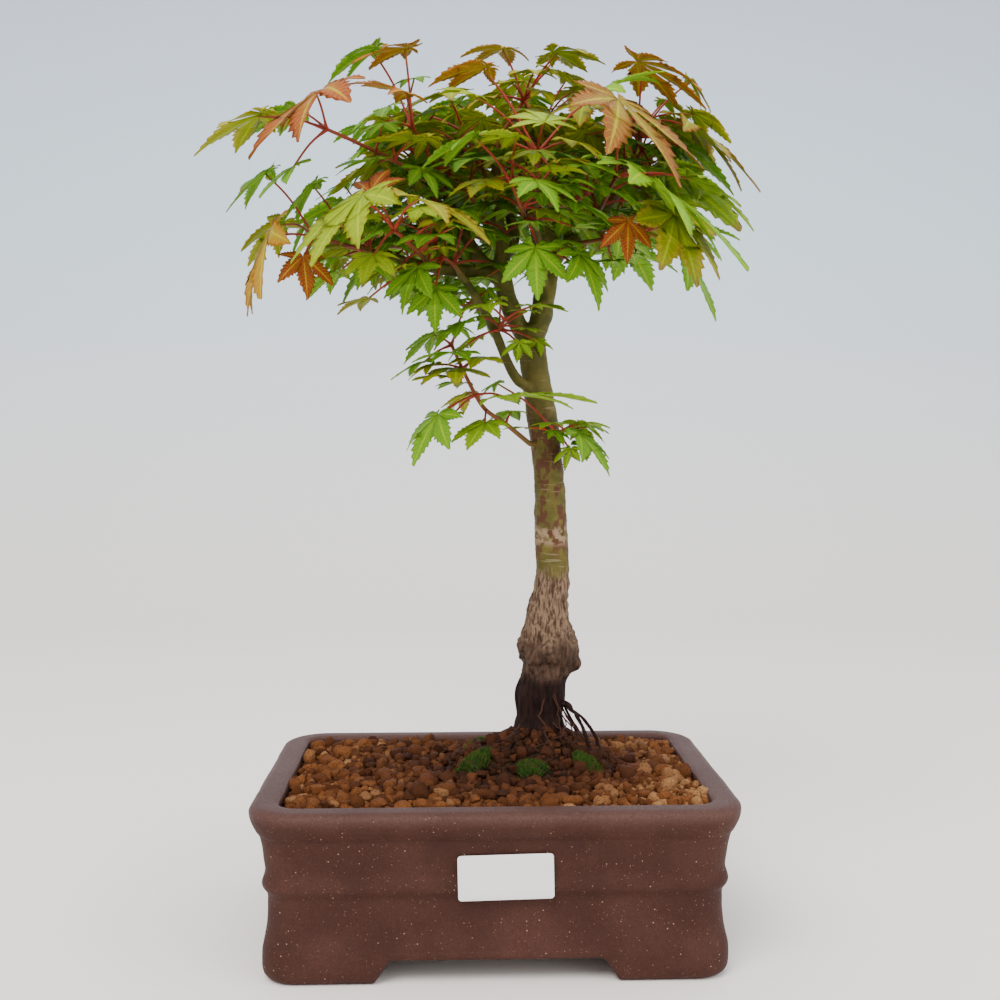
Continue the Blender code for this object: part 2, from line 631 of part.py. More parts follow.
class Occupied:
    """Everything already placed, as one tree of faces that a new piece must not touch."""

    def __init__(self):
        self.points = []
        self.faces = []
        self.owners = []
        self.tree = None

    def add(self, shape, owner):
        points, faces = shape
        start = len(self.points)
        self.points += [Vector(point) for point in points]
        self.faces += [tuple(start + i for i in face) for face in faces]
        self.owners += [owner] * len(faces)
        self.tree = None

    def meets(self, shape, but=None):
        """Whether a shape touches anything placed, apart from what the owner given by but holds."""
        if self.tree is None:
            self.tree = BVHTree.FromPolygons(self.points, self.faces)
        points, faces = shape
        touching = self.tree.overlap(BVHTree.FromPolygons([Vector(p) for p in points], faces))
        return any(self.owners[face] != but for face, _ in touching)


def leaf_frame(leaf):
    """Origin, axis to the middle lobe's tip, sideways axis and upper side of a blade."""
    axis = bearing_vector(leaf.heading, -leaf.dip)
    side = unit(np.cross((0, 0, 1), axis))
    return np.array([leaf.x, leaf.y, leaf.z + SOIL_Z]), axis, side, np.cross(axis, side)


def blade(leaf, spare=0.0):
    """Closed plate with one point to each lobe, its tips drooping. Spare adds room all round."""
    if leaf.size > LARGE_LEAF:
        lobe_angles = (-118, -74, -37, 0, 37, 74, 118)
        lobe_sizes = (0.42, 0.72, 0.93, 1.0, 0.93, 0.72, 0.42)
    else:
        lobe_angles = (-92, -44, 0, 44, 92)
        lobe_sizes = (0.5, 0.85, 1.0, 0.85, 0.5)
    outline = [(180, 0.05)]
    for index, (angle, size) in enumerate(zip(lobe_angles, lobe_sizes)):
        outline.append((angle, size))
        if index + 1 < len(lobe_angles):
            between = (angle + lobe_angles[index + 1]) / 2
            outline.append((between, 0.36 * min(size, lobe_sizes[index + 1]) + 0.02))
    origin, axis, side, up = leaf_frame(leaf)
    upper = [origin + up * spare + axis * 0.1 * leaf.size]
    for angle, share in outline:
        reach = share * leaf.size + (spare if share > 0.4 else 0.0)
        turn = math.radians(angle)
        droop = 0.16 * reach * reach / leaf.size
        upper.append(origin + axis * reach * math.cos(turn) + side * reach * math.sin(turn)
                     + up * (spare - droop))
    upper = np.array(upper)
    count = len(outline)
    points = np.concatenate([upper, upper - up * (BLADE_THICKNESS + 2 * spare)])
    low = count + 1
    faces = []
    for i in range(count):
        a, b = 1 + i, 1 + (i + 1) % count
        faces += [(0, a, b), (low, low + b, low + a), (a, low + a, low + b, b)]
    return points, faces


def petiole_path(leaf, node):
    """Leaf stalk from a node on the stem, bowed upwards, into the base of the blade."""
    origin, axis, _, up = leaf_frame(leaf)
    end = origin + axis * 0.08 * leaf.size - up * BLADE_THICKNESS * 0.55
    span = np.linalg.norm(end - node)
    middle = (node + end) / 2 + (0, 0, 0.07 * span)
    start = node - (middle - node) / span * 1.2
    return smooth_path([start, middle, end], span / 1.9)


def petiole_tube(path):
    """Thin stalk that narrows to less than the blade's thickness where it enters it."""
    return tube(path, np.linspace(PETIOLE_RADIUS, 0.4 * BLADE_THICKNESS, len(path)), 3)


def stem_path(branch, place, waypoints):
    """Stem from a hair off the bark, out square to the branch, then along its waypoints."""
    wood = wood_path(branch)
    at = place * (len(wood) - 1)
    low = min(int(at), len(wood) - 2)
    row = wood[low] + (wood[low + 1] - wood[low]) * (at - low)
    along = unit(wood[low + 1, :3] - wood[low, :3])
    if place >= 1:
        start, out = row[:3] + along * GAP, along
    else:
        toward = waypoints[0] - row[:3]
        out = unit(toward - along * toward.dot(along))
        start = row[:3] + out * (row[3] + GAP)
    return smooth_path([start, start + out * 2.5, *waypoints], 13.0)


def stem_tube(path, spare=0.0):
    radii = np.linspace(STEM_RADIUS, STEM_TIP_RADIUS, len(path)) + spare
    return tube(path, radii, 4)


def place_stem(occupied, owner, branch, place, waypoints, rng):
    """The stem as asked, or the first small swing of it that touches nothing."""
    for attempt in range(24):
        swing = np.array([rng.uniform(-1, 1) for _ in range(3)]) * attempt * 0.7
        moved = [point + swing * (n + 1) / len(waypoints) for n, point in enumerate(waypoints)]
        slid = place if place >= 1 else min(0.97, max(0.1, place + 0.006 * swing[0]))
        path = stem_path(branch, slid, moved)
        if not (occupied.meets(stem_tube(path, 0.1)) or occupied.meets(stem_tube(path[1:], LEAF_SPACE))):
            occupied.add(stem_tube(path), owner)
            return path
    return None


def place_leaf(occupied, owner, path, wanted, node, rng):
    """The leaf as asked, or the first small change of it that touches nothing."""
    for attempt in range(40):
        leaf = wanted._replace(
            x=wanted.x + rng.uniform(-0.5, 0.5) * attempt,
            y=wanted.y + rng.uniform(-0.5, 0.5) * attempt,
            z=wanted.z + rng.uniform(-0.4, 0.6) * attempt,
            heading=wanted.heading + rng.uniform(-1.2, 1.2) * attempt,
            dip=wanted.dip + rng.uniform(-0.8, 0.8) * attempt,
            size=wanted.size * (1 - 0.006 * attempt))
        origin = leaf_frame(leaf)[0]
        if node is None:
            outer = path[max(1, len(path) // 3):]
            node = outer[np.argmin(np.linalg.norm(outer - origin, axis=1))]
        stalk = petiole_path(leaf, node)
        span = np.linalg.norm(stalk[-1] - node)
        clear = stalk.copy()
        clear[0] += (stalk[1] - stalk[0]) * min(0.9, 9.0 / span)
        if occupied.meets(tube(stalk, PETIOLE_RADIUS + LEAF_SPACE, 4), owner):
            continue
        if occupied.meets(tube(clear, PETIOLE_RADIUS + LEAF_SPACE, 4)):
            continue
        if occupied.meets(blade(leaf, LEAF_SPACE)):
            continue
        occupied.add(blade(leaf), owner)
        occupied.add(petiole_tube(stalk), owner)
        return leaf, stalk
    return None


def grown_leaves(path, pairs, size, tone, rng):
    """Opposite pairs up a stem, each leaf turned outwards and drooping more at the edge."""
    asked = []
    for pair in range(pairs):
        row = len(path) - 1 - round(pair * 0.45 * (len(path) - 1))
        node = path[row]
        along = unit(path[row] - path[row - 1])
        level = unit(np.cross(along, (0, 0, 1)) + (0, 0, 0.35 * pair))
        for side in (1, -1):
            out = unit(along * 0.55 + level * side * 0.8 + (0, 0, 0.3))
            reach = size * rng.uniform(0.55, 0.85)
            base = node + out * reach
            away = base[:2] - (MOUND_X, MOUND_Y)
            facing = out[:2] * 0.7 + away / (20 + np.linalg.norm(away)) * 0.8
            heading = math.degrees(math.atan2(facing[1], facing[0])) + rng.uniform(-14, 14)
            dip = 6 + 0.3 * np.linalg.norm(away) + rng.uniform(-10, 10)
            asked.append((Leaf(base[0], base[1], base[2] - SOIL_Z, heading, dip,
                               size * rng.uniform(0.85, 1.15), tone), node))
    return asked


def grow_shoots(occupied):
    """Every shoot as its stem and its leaves: stems first, then leaves set by hand, then grown."""
    shoots = []
    for number, (branch, place, waypoints, leaves) in enumerate(SET_SHOOTS):
        rng = random.Random(100 + number)
        owner = f"set {number}"
        waypoints = [np.array(point) + (0, 0, SOIL_Z) for point in waypoints]
        path = place_stem(occupied, owner, branch, place, waypoints, rng)
        if path is not None:
            shoots.append((owner, path, rng, [(leaf, None) for leaf in leaves]))
    for number, (branch, place, bearing, rise, length, pairs, size, tone) in enumerate(GROWN_SHOOTS):
        rng = random.Random(500 + number)
        owner = f"grown {number}"
        wood = wood_path(branch)
        root = wood[round(place * (len(wood) - 1)), :3]
        way = bearing_vector(bearing, rise)
        waypoints = [root + way * length * 0.55, root + way * length + (0, 0, 0.12 * length)]
        path = place_stem(occupied, owner, branch, place, waypoints, rng)
        if path is not None:
            shoots.append((owner, path, rng, grown_leaves(path, pairs, size, tone, rng)))
    grown = []
    for owner, path, rng, asked in shoots:
        placed = [place_leaf(occupied, owner, path, leaf, node, rng) for leaf, node in asked]
        grown.append((path, [found for found in placed if found]))
    return [shoot for shoot in grown if shoot[1]]


def make_tree():
    shapes = wood_shapes()
    bark = material("bark", (0.16, 0.13, 0.06), 0.8)
    joined("trunk", shapes, bark, 50)
    occupied = Occupied()
    for shape in shapes:
        occupied.add(shape, "trunk")
    looks = {tone: material("leaf_" + tone, colour, 0.5) for tone, colour in TONES.items()}
    for number, (path, leaves) in enumerate(grow_shoots(occupied), 1):
        parts = [stem_tube(path)]
        parts += [petiole_tube(stalk) for _, stalk in leaves]
        parts += [blade(leaf) for leaf, _ in leaves]
        joined(f"leafy_shoot_{number:02d}", parts, looks[leaves[0][0].tone])


# ---------------------------------------------------------------- the whole object


def stand_on_origin():
    """Parents every piece to one empty that brings the middle of the whole over the origin."""
    root = bpy.data.objects.new("bonsai", None)
    bpy.context.scene.collection.objects.link(root)
    pieces = [piece for piece in bpy.data.objects if piece.type == "MESH"]
    for piece in pieces:
        piece.parent = root
    corners = np.array([corner for piece in pieces if not piece.hide_render for corner in piece.bound_box])
    middle = (corners.min(axis=0) + corners.max(axis=0)) / 2
    root.location = (-middle[0], -middle[1], 0.0)


for old in list(bpy.data.objects):
    bpy.data.objects.remove(old)

make_pot()
make_tag()
make_drainage()
make_akadama_bed()
make_root_ball()
make_moss()
make_tree()
stand_on_origin()
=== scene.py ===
"""Looks of a young Japanese maple bonsai in a rectangular unglazed clay pot.

Sizes are in millimetres in the pot's own frame, whose origin is on the table under the pot's
middle. new_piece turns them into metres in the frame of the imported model. Sections follow
the way the plant is potted: pot, drainage, tag, granules, root ball, moss, wood, leaves.
"""

import json
import math
import random
from collections import namedtuple

import bpy
import numpy as np
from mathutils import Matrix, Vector
from mathutils.bvhtree import BVHTree

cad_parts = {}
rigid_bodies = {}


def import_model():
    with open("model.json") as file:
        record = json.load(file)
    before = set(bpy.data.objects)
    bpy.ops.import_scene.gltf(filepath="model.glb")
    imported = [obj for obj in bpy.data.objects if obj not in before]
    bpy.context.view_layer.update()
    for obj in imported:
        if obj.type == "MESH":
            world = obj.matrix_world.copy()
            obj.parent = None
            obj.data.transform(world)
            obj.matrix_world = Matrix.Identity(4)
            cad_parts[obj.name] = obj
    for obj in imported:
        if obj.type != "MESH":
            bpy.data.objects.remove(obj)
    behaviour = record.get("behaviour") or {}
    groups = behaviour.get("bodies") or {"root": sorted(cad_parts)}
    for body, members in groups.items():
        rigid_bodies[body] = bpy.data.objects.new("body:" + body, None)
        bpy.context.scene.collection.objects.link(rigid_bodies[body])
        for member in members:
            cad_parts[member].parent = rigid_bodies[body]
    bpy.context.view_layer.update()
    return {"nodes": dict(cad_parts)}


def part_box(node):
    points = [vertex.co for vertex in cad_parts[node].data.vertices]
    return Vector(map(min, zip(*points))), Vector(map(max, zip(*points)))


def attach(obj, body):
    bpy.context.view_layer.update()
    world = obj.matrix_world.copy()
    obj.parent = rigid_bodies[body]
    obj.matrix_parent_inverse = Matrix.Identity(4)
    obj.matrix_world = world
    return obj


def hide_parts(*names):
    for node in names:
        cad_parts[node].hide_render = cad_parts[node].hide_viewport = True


for startup_object in list(bpy.data.objects):
    bpy.data.objects.remove(startup_object)
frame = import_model()

# ---------------------------------------------------------------- clay pot
# A slab-built stoneware pot, unglazed, dark brown with pale grit. Its wall is drawn in under
# a thick rolled rim, carries one raised band, and ends in four feet cut at the corners.

MM = 0.001
GAP = 0.3  # clearance left between neighbouring pieces
pot_low, pot_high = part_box("pot")
pot_middle = np.array([(pot_low.x + pot_high.x) / 2, (pot_low.y + pot_high.y) / 2, 0.0])
POT_LENGTH = 210.0
POT_WIDTH = 150.0
POT_HEIGHT = 74.0
RIM_WIDTH = 12.5
RIM_CORNER = 22.0
BODY_CORNER = 13.0
INNER_CORNER = 9.0
INNER_FLOOR_Z = 18.0
DRAIN_RADIUS = 9.0
DRAIN_SPACING = 90.0
FOOT_TOP_Z = 14.0  # the feet's cut edges have died out in the wall at this height
FRONT_GAP_HALF = 46.5
SIDE_GAP_HALF = 31.0
WAIST_Z = POT_HEIGHT - 41.0  # the wall is drawn in furthest here, just under the raised band

LOWER_PROFILE = (
    (0.0, 9.0), (1.0, 7.4), (3.0, 6.1), (6.0, 5.6), (10.5, 5.6), (14.0, 6.0),
    ((14.0 + WAIST_Z) / 2 - 1.5, 7.5), (WAIST_Z, 8.0), (WAIST_Z + 3.5, 7.6), (WAIST_Z + 6.0, 6.2),
    (WAIST_Z + 8.0, 5.8), (WAIST_Z + 10.0, 6.2), (WAIST_Z + 13.0, 6.9), (WAIST_Z + 17.0, 6.6),
)
RIM_PROFILE = (
    (14.0, 5.0), (11.0, 3.0), (8.0, 1.0), (5.5, 0.2), (3.0, 0.0), (1.3, 0.9), (0.3, 2.8),
    (0.0, 5.0), (0.0, RIM_WIDTH - 2.5), (0.6, RIM_WIDTH - 0.7), (2.0, RIM_WIDTH),
)


class Value:
    """A socket of a material. Arithmetic on it adds Math nodes."""

    def __init__(self, finish, socket):
        self.finish = finish
        self.socket = socket

    def maths(self, operation, first, second=0.0, clamp=False):
        settings = {"operation": operation, "use_clamp": clamp}
        return self.finish.node("ShaderNodeMath", settings, {0: first, 1: second})

    def __add__(self, other):
        return self.maths("ADD", self, other)

    def __sub__(self, other):
        return self.maths("SUBTRACT", self, other)

    def __mul__(self, other):
        return self.maths("MULTIPLY", self, other)

    def __radd__(self, other):
        return self.maths("ADD", other, self)

    def __rsub__(self, other):
        return self.maths("SUBTRACT", other, self)

    def __rmul__(self, other):
        return self.maths("MULTIPLY", other, self)

    def clamped(self):
        return self.maths("ADD", self, 0.0, clamp=True)

    def absolute(self):
        return self.maths("ABSOLUTE", self)

    def fraction(self):
        return self.maths("FRACT", self)

    def step(self, start, end):
        """0 up to start, 1 from end on, and a smooth rise between them."""
        settings = {"interpolation_type": "SMOOTHSTEP"}
        return self.finish.node("ShaderNodeMapRange", settings, {0: self, 1: start, 2: end})


class Finish:
    """A material: its Principled shader with set values, and any nodes that vary it."""

    def __init__(self, name, **constants):
        self.material = bpy.data.materials.new(name)
        self.material.use_nodes = True
        self.tree = self.material.node_tree
        self.shader = self.tree.nodes["Principled BSDF"]
        for socket, value in constants.items():
            self.shader.inputs[socket.replace("_", " ")].default_value = value

    def node(self, kind, settings, inputs, output=0):
        """Any node: its settings first, then a value or a link for each socket."""
        made = self.tree.nodes.new(kind)
        for setting, value in settings.items():
            setattr(made, setting, value)
        for key, value in inputs.items():
            if isinstance(value, Value):
                self.tree.links.new(value.socket, made.inputs[key])
            else:
                made.inputs[key].default_value = value
        return Value(self, made.outputs[output])

    def where(self):
        return self.node("ShaderNodeTexCoord", {}, {}, "Object")

    def height(self):
        """Height above the table in millimetres."""
        return self.node("ShaderNodeSeparateXYZ", {}, {0: self.where()}, "Z") * (1 / MM)

    def stretched(self, x, y, z):
        """Object coordinates with each axis scaled, for grain that runs one way."""
        return self.node("ShaderNodeMapping", {}, {"Vector": self.where(), "Scale": (x, y, z)})

    def noise(self, size, detail=3.0, roughness=0.55, at=None):
        """Noise whose lumps are about the given size in millimetres."""
        inputs = {"Vector": at or self.where(), "Scale": 1 / (size * MM),
                  "Detail": detail, "Roughness": roughness}
        return self.node("ShaderNodeTexNoise", {}, inputs)

    def cells(self, size):
        """Distance from the middles of scattered cells of the given size in millimetres."""
        inputs = {"Vector": self.where(), "Scale": 1 / (size * MM)}
        return self.node("ShaderNodeTexVoronoi", {}, inputs, "Distance")

    def attribute(self, name, output="Fac"):
        return self.node("ShaderNodeAttribute", {"attribute_name": name}, {}, output)

    def mix(self, share, first, second):
        """Colour mix of two colours, each a triple or a socket."""
        pair = [c if isinstance(c, Value) else (*c, 1.0) for c in (first, second)]
        inputs = {0: share, 6: pair[0], 7: pair[1]}
        return self.node("ShaderNodeMix", {"data_type": "RGBA"}, inputs, 2)

    def vary(self, **inputs):
        """Links the shader's varying sockets."""
        for socket, value in inputs.items():
            self.tree.links.new(value.socket, self.shader.inputs[socket.replace("_", " ")])

    def bump(self, height, depth, strength=1.0):
        """Surface relief of the given depth in millimetres."""
        inputs = {"Height": height, "Distance": depth * MM, "Strength": strength}
        self.vary(Normal=self.node("ShaderNodeBump", {}, inputs))


def grid_faces(rows, columns):
    """Quads between neighbours on a grid of points whose rows close on themselves."""
    i = np.arange(rows - 1)[:, None]
    j = np.arange(columns)[None, :]
    k = (j + 1) % columns
    corners = (i * columns + j, i * columns + k, (i + 1) * columns + k, (i + 1) * columns + j)
    return np.stack(corners, -1).reshape(-1, 4).tolist()


def capped(rows, columns):
    """The grid's quads with one face over each end."""
    last = (rows - 1) * columns
    ends = [list(range(columns))[::-1], list(range(last, last + columns))]
    return grid_faces(rows, columns) + ends


def linked(name, data):
    """Object of the given name and data, in the scene."""
    made = bpy.data.objects.new(name, data)
    bpy.context.scene.collection.objects.link(made)
    return made


def mesh_object(name, points, faces, looks=()):
    """Object with its place in its mesh, from points in the pot's own frame."""
    mesh = bpy.data.meshes.new(name)
    mesh.from_pydata((pot_middle + np.asarray(points).reshape(-1, 3) * MM).tolist(), [], faces)
    for look in looks:
        mesh.materials.append(look.material)
    return linked(name, mesh)


def new_piece(name, points, faces, looks, replaces=()):
    """Smooth-shaded piece of the plant or its pot, riding with the pot."""
    piece = mesh_object(name, points, faces, looks)
    piece.data.shade_smooth()
    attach(piece, "root")
    if replaces:
        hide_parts(*replaces)
    return piece


def smooth_path(points, step):
    """Catmull-Rom curve through rows of numbers, about one row each step along x, y, z."""
    rows = np.asarray(points, float)
    rows = np.vstack([2 * rows[0] - rows[1], rows, 2 * rows[-1] - rows[-2]])
    made = []
    for before, start, end, after in zip(rows, rows[1:], rows[2:], rows[3:]):
        count = max(1, round(float(np.linalg.norm(end[:3] - start[:3])) / step))
        for t in np.arange(count) / count:
            made.append(0.5 * (2 * start + (end - before) * t
                               + (2 * before - 5 * start + 4 * end - after) * t ** 2
                               + (3 * start - before - 3 * end + after) * t ** 3))
    made.append(rows[-2])
    return np.array(made)


def waves(points, size, seed, count=24):
    """Smooth noise about -1 to 1: a sum of sine waves of random heading and phase."""
    rng = np.random.default_rng(seed)
    headings = rng.normal(size=(count, 3))
    headings /= np.linalg.norm(headings, axis=1)[:, None]
    lengths = size * rng.uniform(0.7, 1.6, count)
    phases = rng.uniform(0, 2 * math.pi, count)
    angles = points @ (headings / lengths[:, None] * 2 * math.pi).T + phases
    return np.sin(angles).sum(axis=1) / math.sqrt(count / 2) / 1.6


def pot_columns():
    """Columns round a rounded rectangle: share of the straight half sides, and direction out."""
    near_feet = np.linspace(0.42, 0.68, 22)
    half = np.concatenate([np.linspace(0, 0.4, 16), near_feet, np.linspace(0.71, 0.97, 8)])
    stations = np.concatenate([-half[:0:-1], half])
    arc = np.linspace(0, math.pi / 2, 15)
    columns = []
    for turn in range(4):
        c, s = round(math.cos(turn * math.pi / 2)), round(math.sin(turn * math.pi / 2))
        side = [(c - s * f, s + c * f, c, s) for f in stations]
        corner = [(c - s, s + c, math.cos(a + turn * math.pi / 2), math.sin(a + turn * math.pi / 2))
                  for a in arc]
        columns += side + corner
    return np.array(columns)


def under_height(across, gap_half):
    """Height of the pot's underside beside a gap: 10 inside it, sloping to 0 under a foot."""
    steps = gap_half + np.array([-3.4, -1.7, -0.5, 0.2, 4.7, 5.4])
    return np.interp(np.abs(across), steps, (10, 9.7, 8.5, 7.0, 0.5, 0.0))


def pot_surface():
    """One skin: rounded rectangles carried from under the pot, up the wall and down inside."""
    spread = np.linspace(POT_WIDTH / 2 - 3, 10.5, 34)
    under = np.column_stack([np.zeros(34), spread, np.interp(spread, (10, 60), (BODY_CORNER, 2))])
    wall = [(z, inset, BODY_CORNER) for z, inset in LOWER_PROFILE]
    inner_share = [min(1.0, max(0.0, (RIM_WIDTH - inset) / RIM_WIDTH)) for _, inset in RIM_PROFILE]
    rim = [(POT_HEIGHT - depth, inset, INNER_CORNER + share * (RIM_CORNER - INNER_CORNER))
           for (depth, inset), share in zip(RIM_PROFILE, inner_share)]
    rim[0] = (*rim[0][:2], BODY_CORNER + 1)
    rim[1] = (*rim[1][:2], BODY_CORNER + 4)
    inside = [(POT_HEIGHT - 14, RIM_WIDTH + 0.4, INNER_CORNER),
              (INNER_FLOOR_Z + 5, RIM_WIDTH + 3, INNER_CORNER),
              (INNER_FLOOR_Z + 1.5, RIM_WIDTH + 4.5, INNER_CORNER),
              (INNER_FLOOR_Z, RIM_WIDTH + 8, INNER_CORNER - 2)]
    upper = smooth_path(wall + rim + inside, 0.9)
    floor = [(INNER_FLOOR_Z, inset, 4.0) for inset in (30, 45, 60)]
    rows = np.vstack([under, upper, floor])
    columns = pot_columns()
    z, inset, radius = (rows[:, i][:, None] for i in range(3))
    half = np.stack([POT_LENGTH / 2 - inset - radius, POT_WIDTH / 2 - inset - radius], -1)
    flat = half * columns[None, :, :2] + radius[..., None] * columns[None, :, 2:]
    base = np.maximum(under_height(flat[..., 0], FRONT_GAP_HALF),
                      under_height(flat[..., 1], SIDE_GAP_HALF))
    height = np.where(z < FOOT_TOP_Z, base + z / FOOT_TOP_Z * (FOOT_TOP_Z - base), z)
    height[-len(floor) - 5:] = rows[-len(floor) - 5:, 0][:, None]
    points = np.concatenate([flat, height[..., None]], -1).reshape(-1, 3)
    hand = 0.22 * waves(points, 55, 1) + 0.07 * waves(points, 9, 2)
    out = np.tile(columns[:, 2:], (len(rows), 1))
    above = (points[:, 2] > 11).astype(float)[:, None]
    points[:, :2] += out * hand[:, None] * above
    return points, capped(len(rows), len(columns))


def clay():
    """Dark stoneware, a little polished on the rim and painted lighter and greyer there as painted sheen,
    with tan and dark grit.
    """
    finish = Finish("brown_clay", Roughness=0.55, Specular_IOR_Level=0.12)
    height = finish.height()
    cloud = finish.noise(28, 4)
    body = finish.mix(cloud.step(0.3, 0.75), (0.047, 0.0180, 0.0125), (0.074, 0.0295, 0.0205))
    # The rim mask paints the rim lighter and greyer as painted sheen, thins its grit, and lowers its
    # roughness for the rim's own polish.
    rim = height.step(POT_HEIGHT - 7, POT_HEIGHT - 1) * (finish.noise(30, 4) * 0.6 + 0.6)
    body = finish.mix(rim * 0.8, body, (0.110, 0.056, 0.045))
    fine = finish.noise(0.9, 2)
    body = finish.mix((fine - 0.5) * 0.9 + 0.3, body, (0.022, 0.008, 0.007))
    grit = (1 - finish.cells(3.0).step(0.05, 0.11)) * finish.noise(5.0, 1).step(0.46, 0.54)
    small_grit = (1 - finish.cells(1.5).step(0.08, 0.17)) * finish.noise(3.0, 1).step(0.47, 0.56)
    shown = 1 - rim * 0.7
    body = finish.mix(grit * shown, body, (0.42, 0.25, 0.17))
    body = finish.mix(small_grit * shown * 0.65, body, (0.27, 0.15, 0.11))
    finish.vary(Base_Color=body, Roughness=0.64 - rim * 0.14 + (fine - 0.5) * 0.16)
    finish.bump(fine * 0.5 + finish.noise(6, 3) * 0.5 + grit * 0.25, 0.35, 0.55)
    return finish


def apply_modifiers(piece):
    """Replaces an object's mesh with the one its modifiers make."""
    graph = bpy.context.evaluated_depsgraph_get()
    piece.data = bpy.data.meshes.new_from_object(piece.evaluated_get(graph))
    piece.modifiers.clear()


def unit(vector):
    return np.asarray(vector, float) / np.linalg.norm(vector)


def loft(rings):
    """Closed skin through rings of equally many points, with flat ends."""
    count = len(rings[0])
    faces = [tuple(reversed(range(count)))]
    for low in range(0, (len(rings) - 1) * count, count):
        for i in range(count):
            j = (i + 1) % count
            faces.append((low + i, low + j, low + count + j, low + count + i))
    last = (len(rings) - 1) * count
    faces.append(tuple(range(last, last + count)))
    return np.concatenate(rings), faces


def tube(path, radii, sides):
    """Closed tube round a path, its cross-sections carried along without twisting."""
    path = np.asarray(path, float)
    tangents = np.gradient(path, axis=0)
    tangents /= np.linalg.norm(tangents, axis=1)[:, None]
    across = unit(np.cross(tangents[0], (0.31, 0.95, 0.05)))
    turns = np.arange(sides) * 2 * math.pi / sides
    rings = []
    for point, tangent, radius in zip(path, tangents, np.broadcast_to(radii, len(path))):
        across = unit(across - tangent * across.dot(tangent))
        other = np.cross(tangent, across)
        ring = np.outer(np.cos(turns), across) + np.outer(np.sin(turns), other)
        rings.append(point + radius * ring)
    return loft(rings)


pot_points, pot_faces = pot_surface()
pot = new_piece("clay_pot", pot_points, pot_faces, [clay()], ["pot"])
for side in (-1, 1):
    centre = np.array([side * DRAIN_SPACING / 2, 0, 0])
    bore = mesh_object("drain_bore", *tube([centre, centre + (0, 0, POT_HEIGHT / 2)], DRAIN_RADIUS, 32))
    cut = pot.modifiers.new("drain", "BOOLEAN")
    cut.object = bore
    apply_modifiers(pot)
    bpy.data.objects.remove(bore)

# ---------------------------------------------------------------- drainage nets and clips
# A square of black plastic net lies over each drainage hole, held by an aluminium wire that
# is pushed through both and bent flat against the pot's underside.

net = Finish("black_net", Roughness=0.5, Base_Color=(0.02, 0.02, 0.02, 1.0))
net.bump(net.noise(0.6, 2), 0.1, 0.5)
net.vary(Roughness=net.noise(2.0, 2) * 0.3 + 0.4)
wire = Finish("soft_wire", Metallic=1.0, Roughness=0.4)
wire.vary(Base_Color=wire.mix(wire.noise(3, 3), (0.32, 0.29, 0.26), (0.18, 0.15, 0.13)))
for word in ("left", "right"):
    for node, look in (("drain_screen_", net), ("screen_clip_", wire)):
        frame["nodes"][node + word].material_slots[0].material = look.material

# ---------------------------------------------------------------- plant tag
# A blank card of stiff white plastic with rounded corners. It leans on the raised band and
# on the wall above the waist, and is held there by a dab of glue.

TAG_LENGTH = 40.0
TAG_HEIGHT = 19.0
TAG_CORNER = 1.5
TAG_X = 3.5
TAG_Z = POT_HEIGHT - 28.0
TAG_TILT = math.radians(1.2)


def tag_surface():
    """Rounded rectangles carried through the card's thickness, drawn in at both faces."""
    low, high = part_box("blank_tag")
    front = (low.y - pot_middle[1]) / MM
    thickness = (high.y - low.y) / MM
    half = np.array([TAG_LENGTH, TAG_HEIGHT]) / 2
    arc = np.linspace(0, math.pi / 2, 9)
    ring = []
    for turn, corner in enumerate(((1, 1), (-1, 1), (-1, -1), (1, -1))):
        angle = arc + turn * math.pi / 2
        ring.append((half - TAG_CORNER) * corner
                    + TAG_CORNER * np.column_stack([np.cos(angle), np.sin(angle)]))
    ring = np.concatenate(ring)
    rows = ((1.0, 0.12), (0.88, 0.0), (0.12, 0.0), (0.0, 0.12), (0.0, 3.0))
    points = []
    for depth, inset in rows:
        flat = ring * (1 - inset / half)
        x = flat[:, 0] * math.cos(TAG_TILT) - flat[:, 1] * math.sin(TAG_TILT)
        z = flat[:, 0] * math.sin(TAG_TILT) + flat[:, 1] * math.cos(TAG_TILT)
        y = np.full(len(x), front + depth * thickness)
        points.append(np.column_stack([TAG_X + x, y, TAG_Z + z]))
    return np.concatenate(points), capped(len(rows), len(ring))


card = Finish("white_card", Roughness=0.32, Specular_IOR_Level=0.5)
card.vary(Base_Color=card.mix(card.noise(9, 3), (0.83, 0.83, 0.82), (0.76, 0.76, 0.75)),
          Roughness=card.noise(5, 3) * 0.15 + 0.26)
card.bump(card.noise(0.5, 2), 0.02, 0.3)
tag_points, tag_faces = tag_surface()
new_piece("blank_tag_card", tag_points, tag_faces, [card], ["blank_tag"])

# ---------------------------------------------------------------- akadama granules
# Granules of fired volcanic clay, rounded and dusty, fill the pot to just under its rim.
# They are orange tan where dry, along the pot's ends, and dark brown where still wet.

SOIL_Z = POT_HEIGHT - 6.0
MOUND_X = 20.0
MOUND_Y = 8.0
MOUND_HALF_LENGTH = 46.0
MOUND_HALF_WIDTH = 34.0
MOUND_RISE = 21.0


def mound_share(x, y):
    """0 over the mound's middle and 1 at its foot."""
    return np.hypot((x - MOUND_X) / MOUND_HALF_LENGTH, (y - MOUND_Y) / MOUND_HALF_WIDTH)


def mound_height(share):
    """The mound's rounded cone, from its rise over the middle down to the soil at its foot."""
    return SOIL_Z + 1.0 + MOUND_RISE * (1 - np.minimum(share, 1.0) ** 1.6)


def ground_height(x, y):
    """The mound's rounded cone, or the granules' gentle rise towards it."""
    share = mound_share(x, y)
    inward = np.minimum(POT_LENGTH / 2 - np.abs(x), POT_WIDTH / 2 - np.abs(y)) - RIM_WIDTH
    bed = SOIL_Z + np.interp(inward, (0, 10, 25), (0, 1.2, 2.0))
    return np.where(share < 1, np.maximum(mound_height(share), bed), bed)


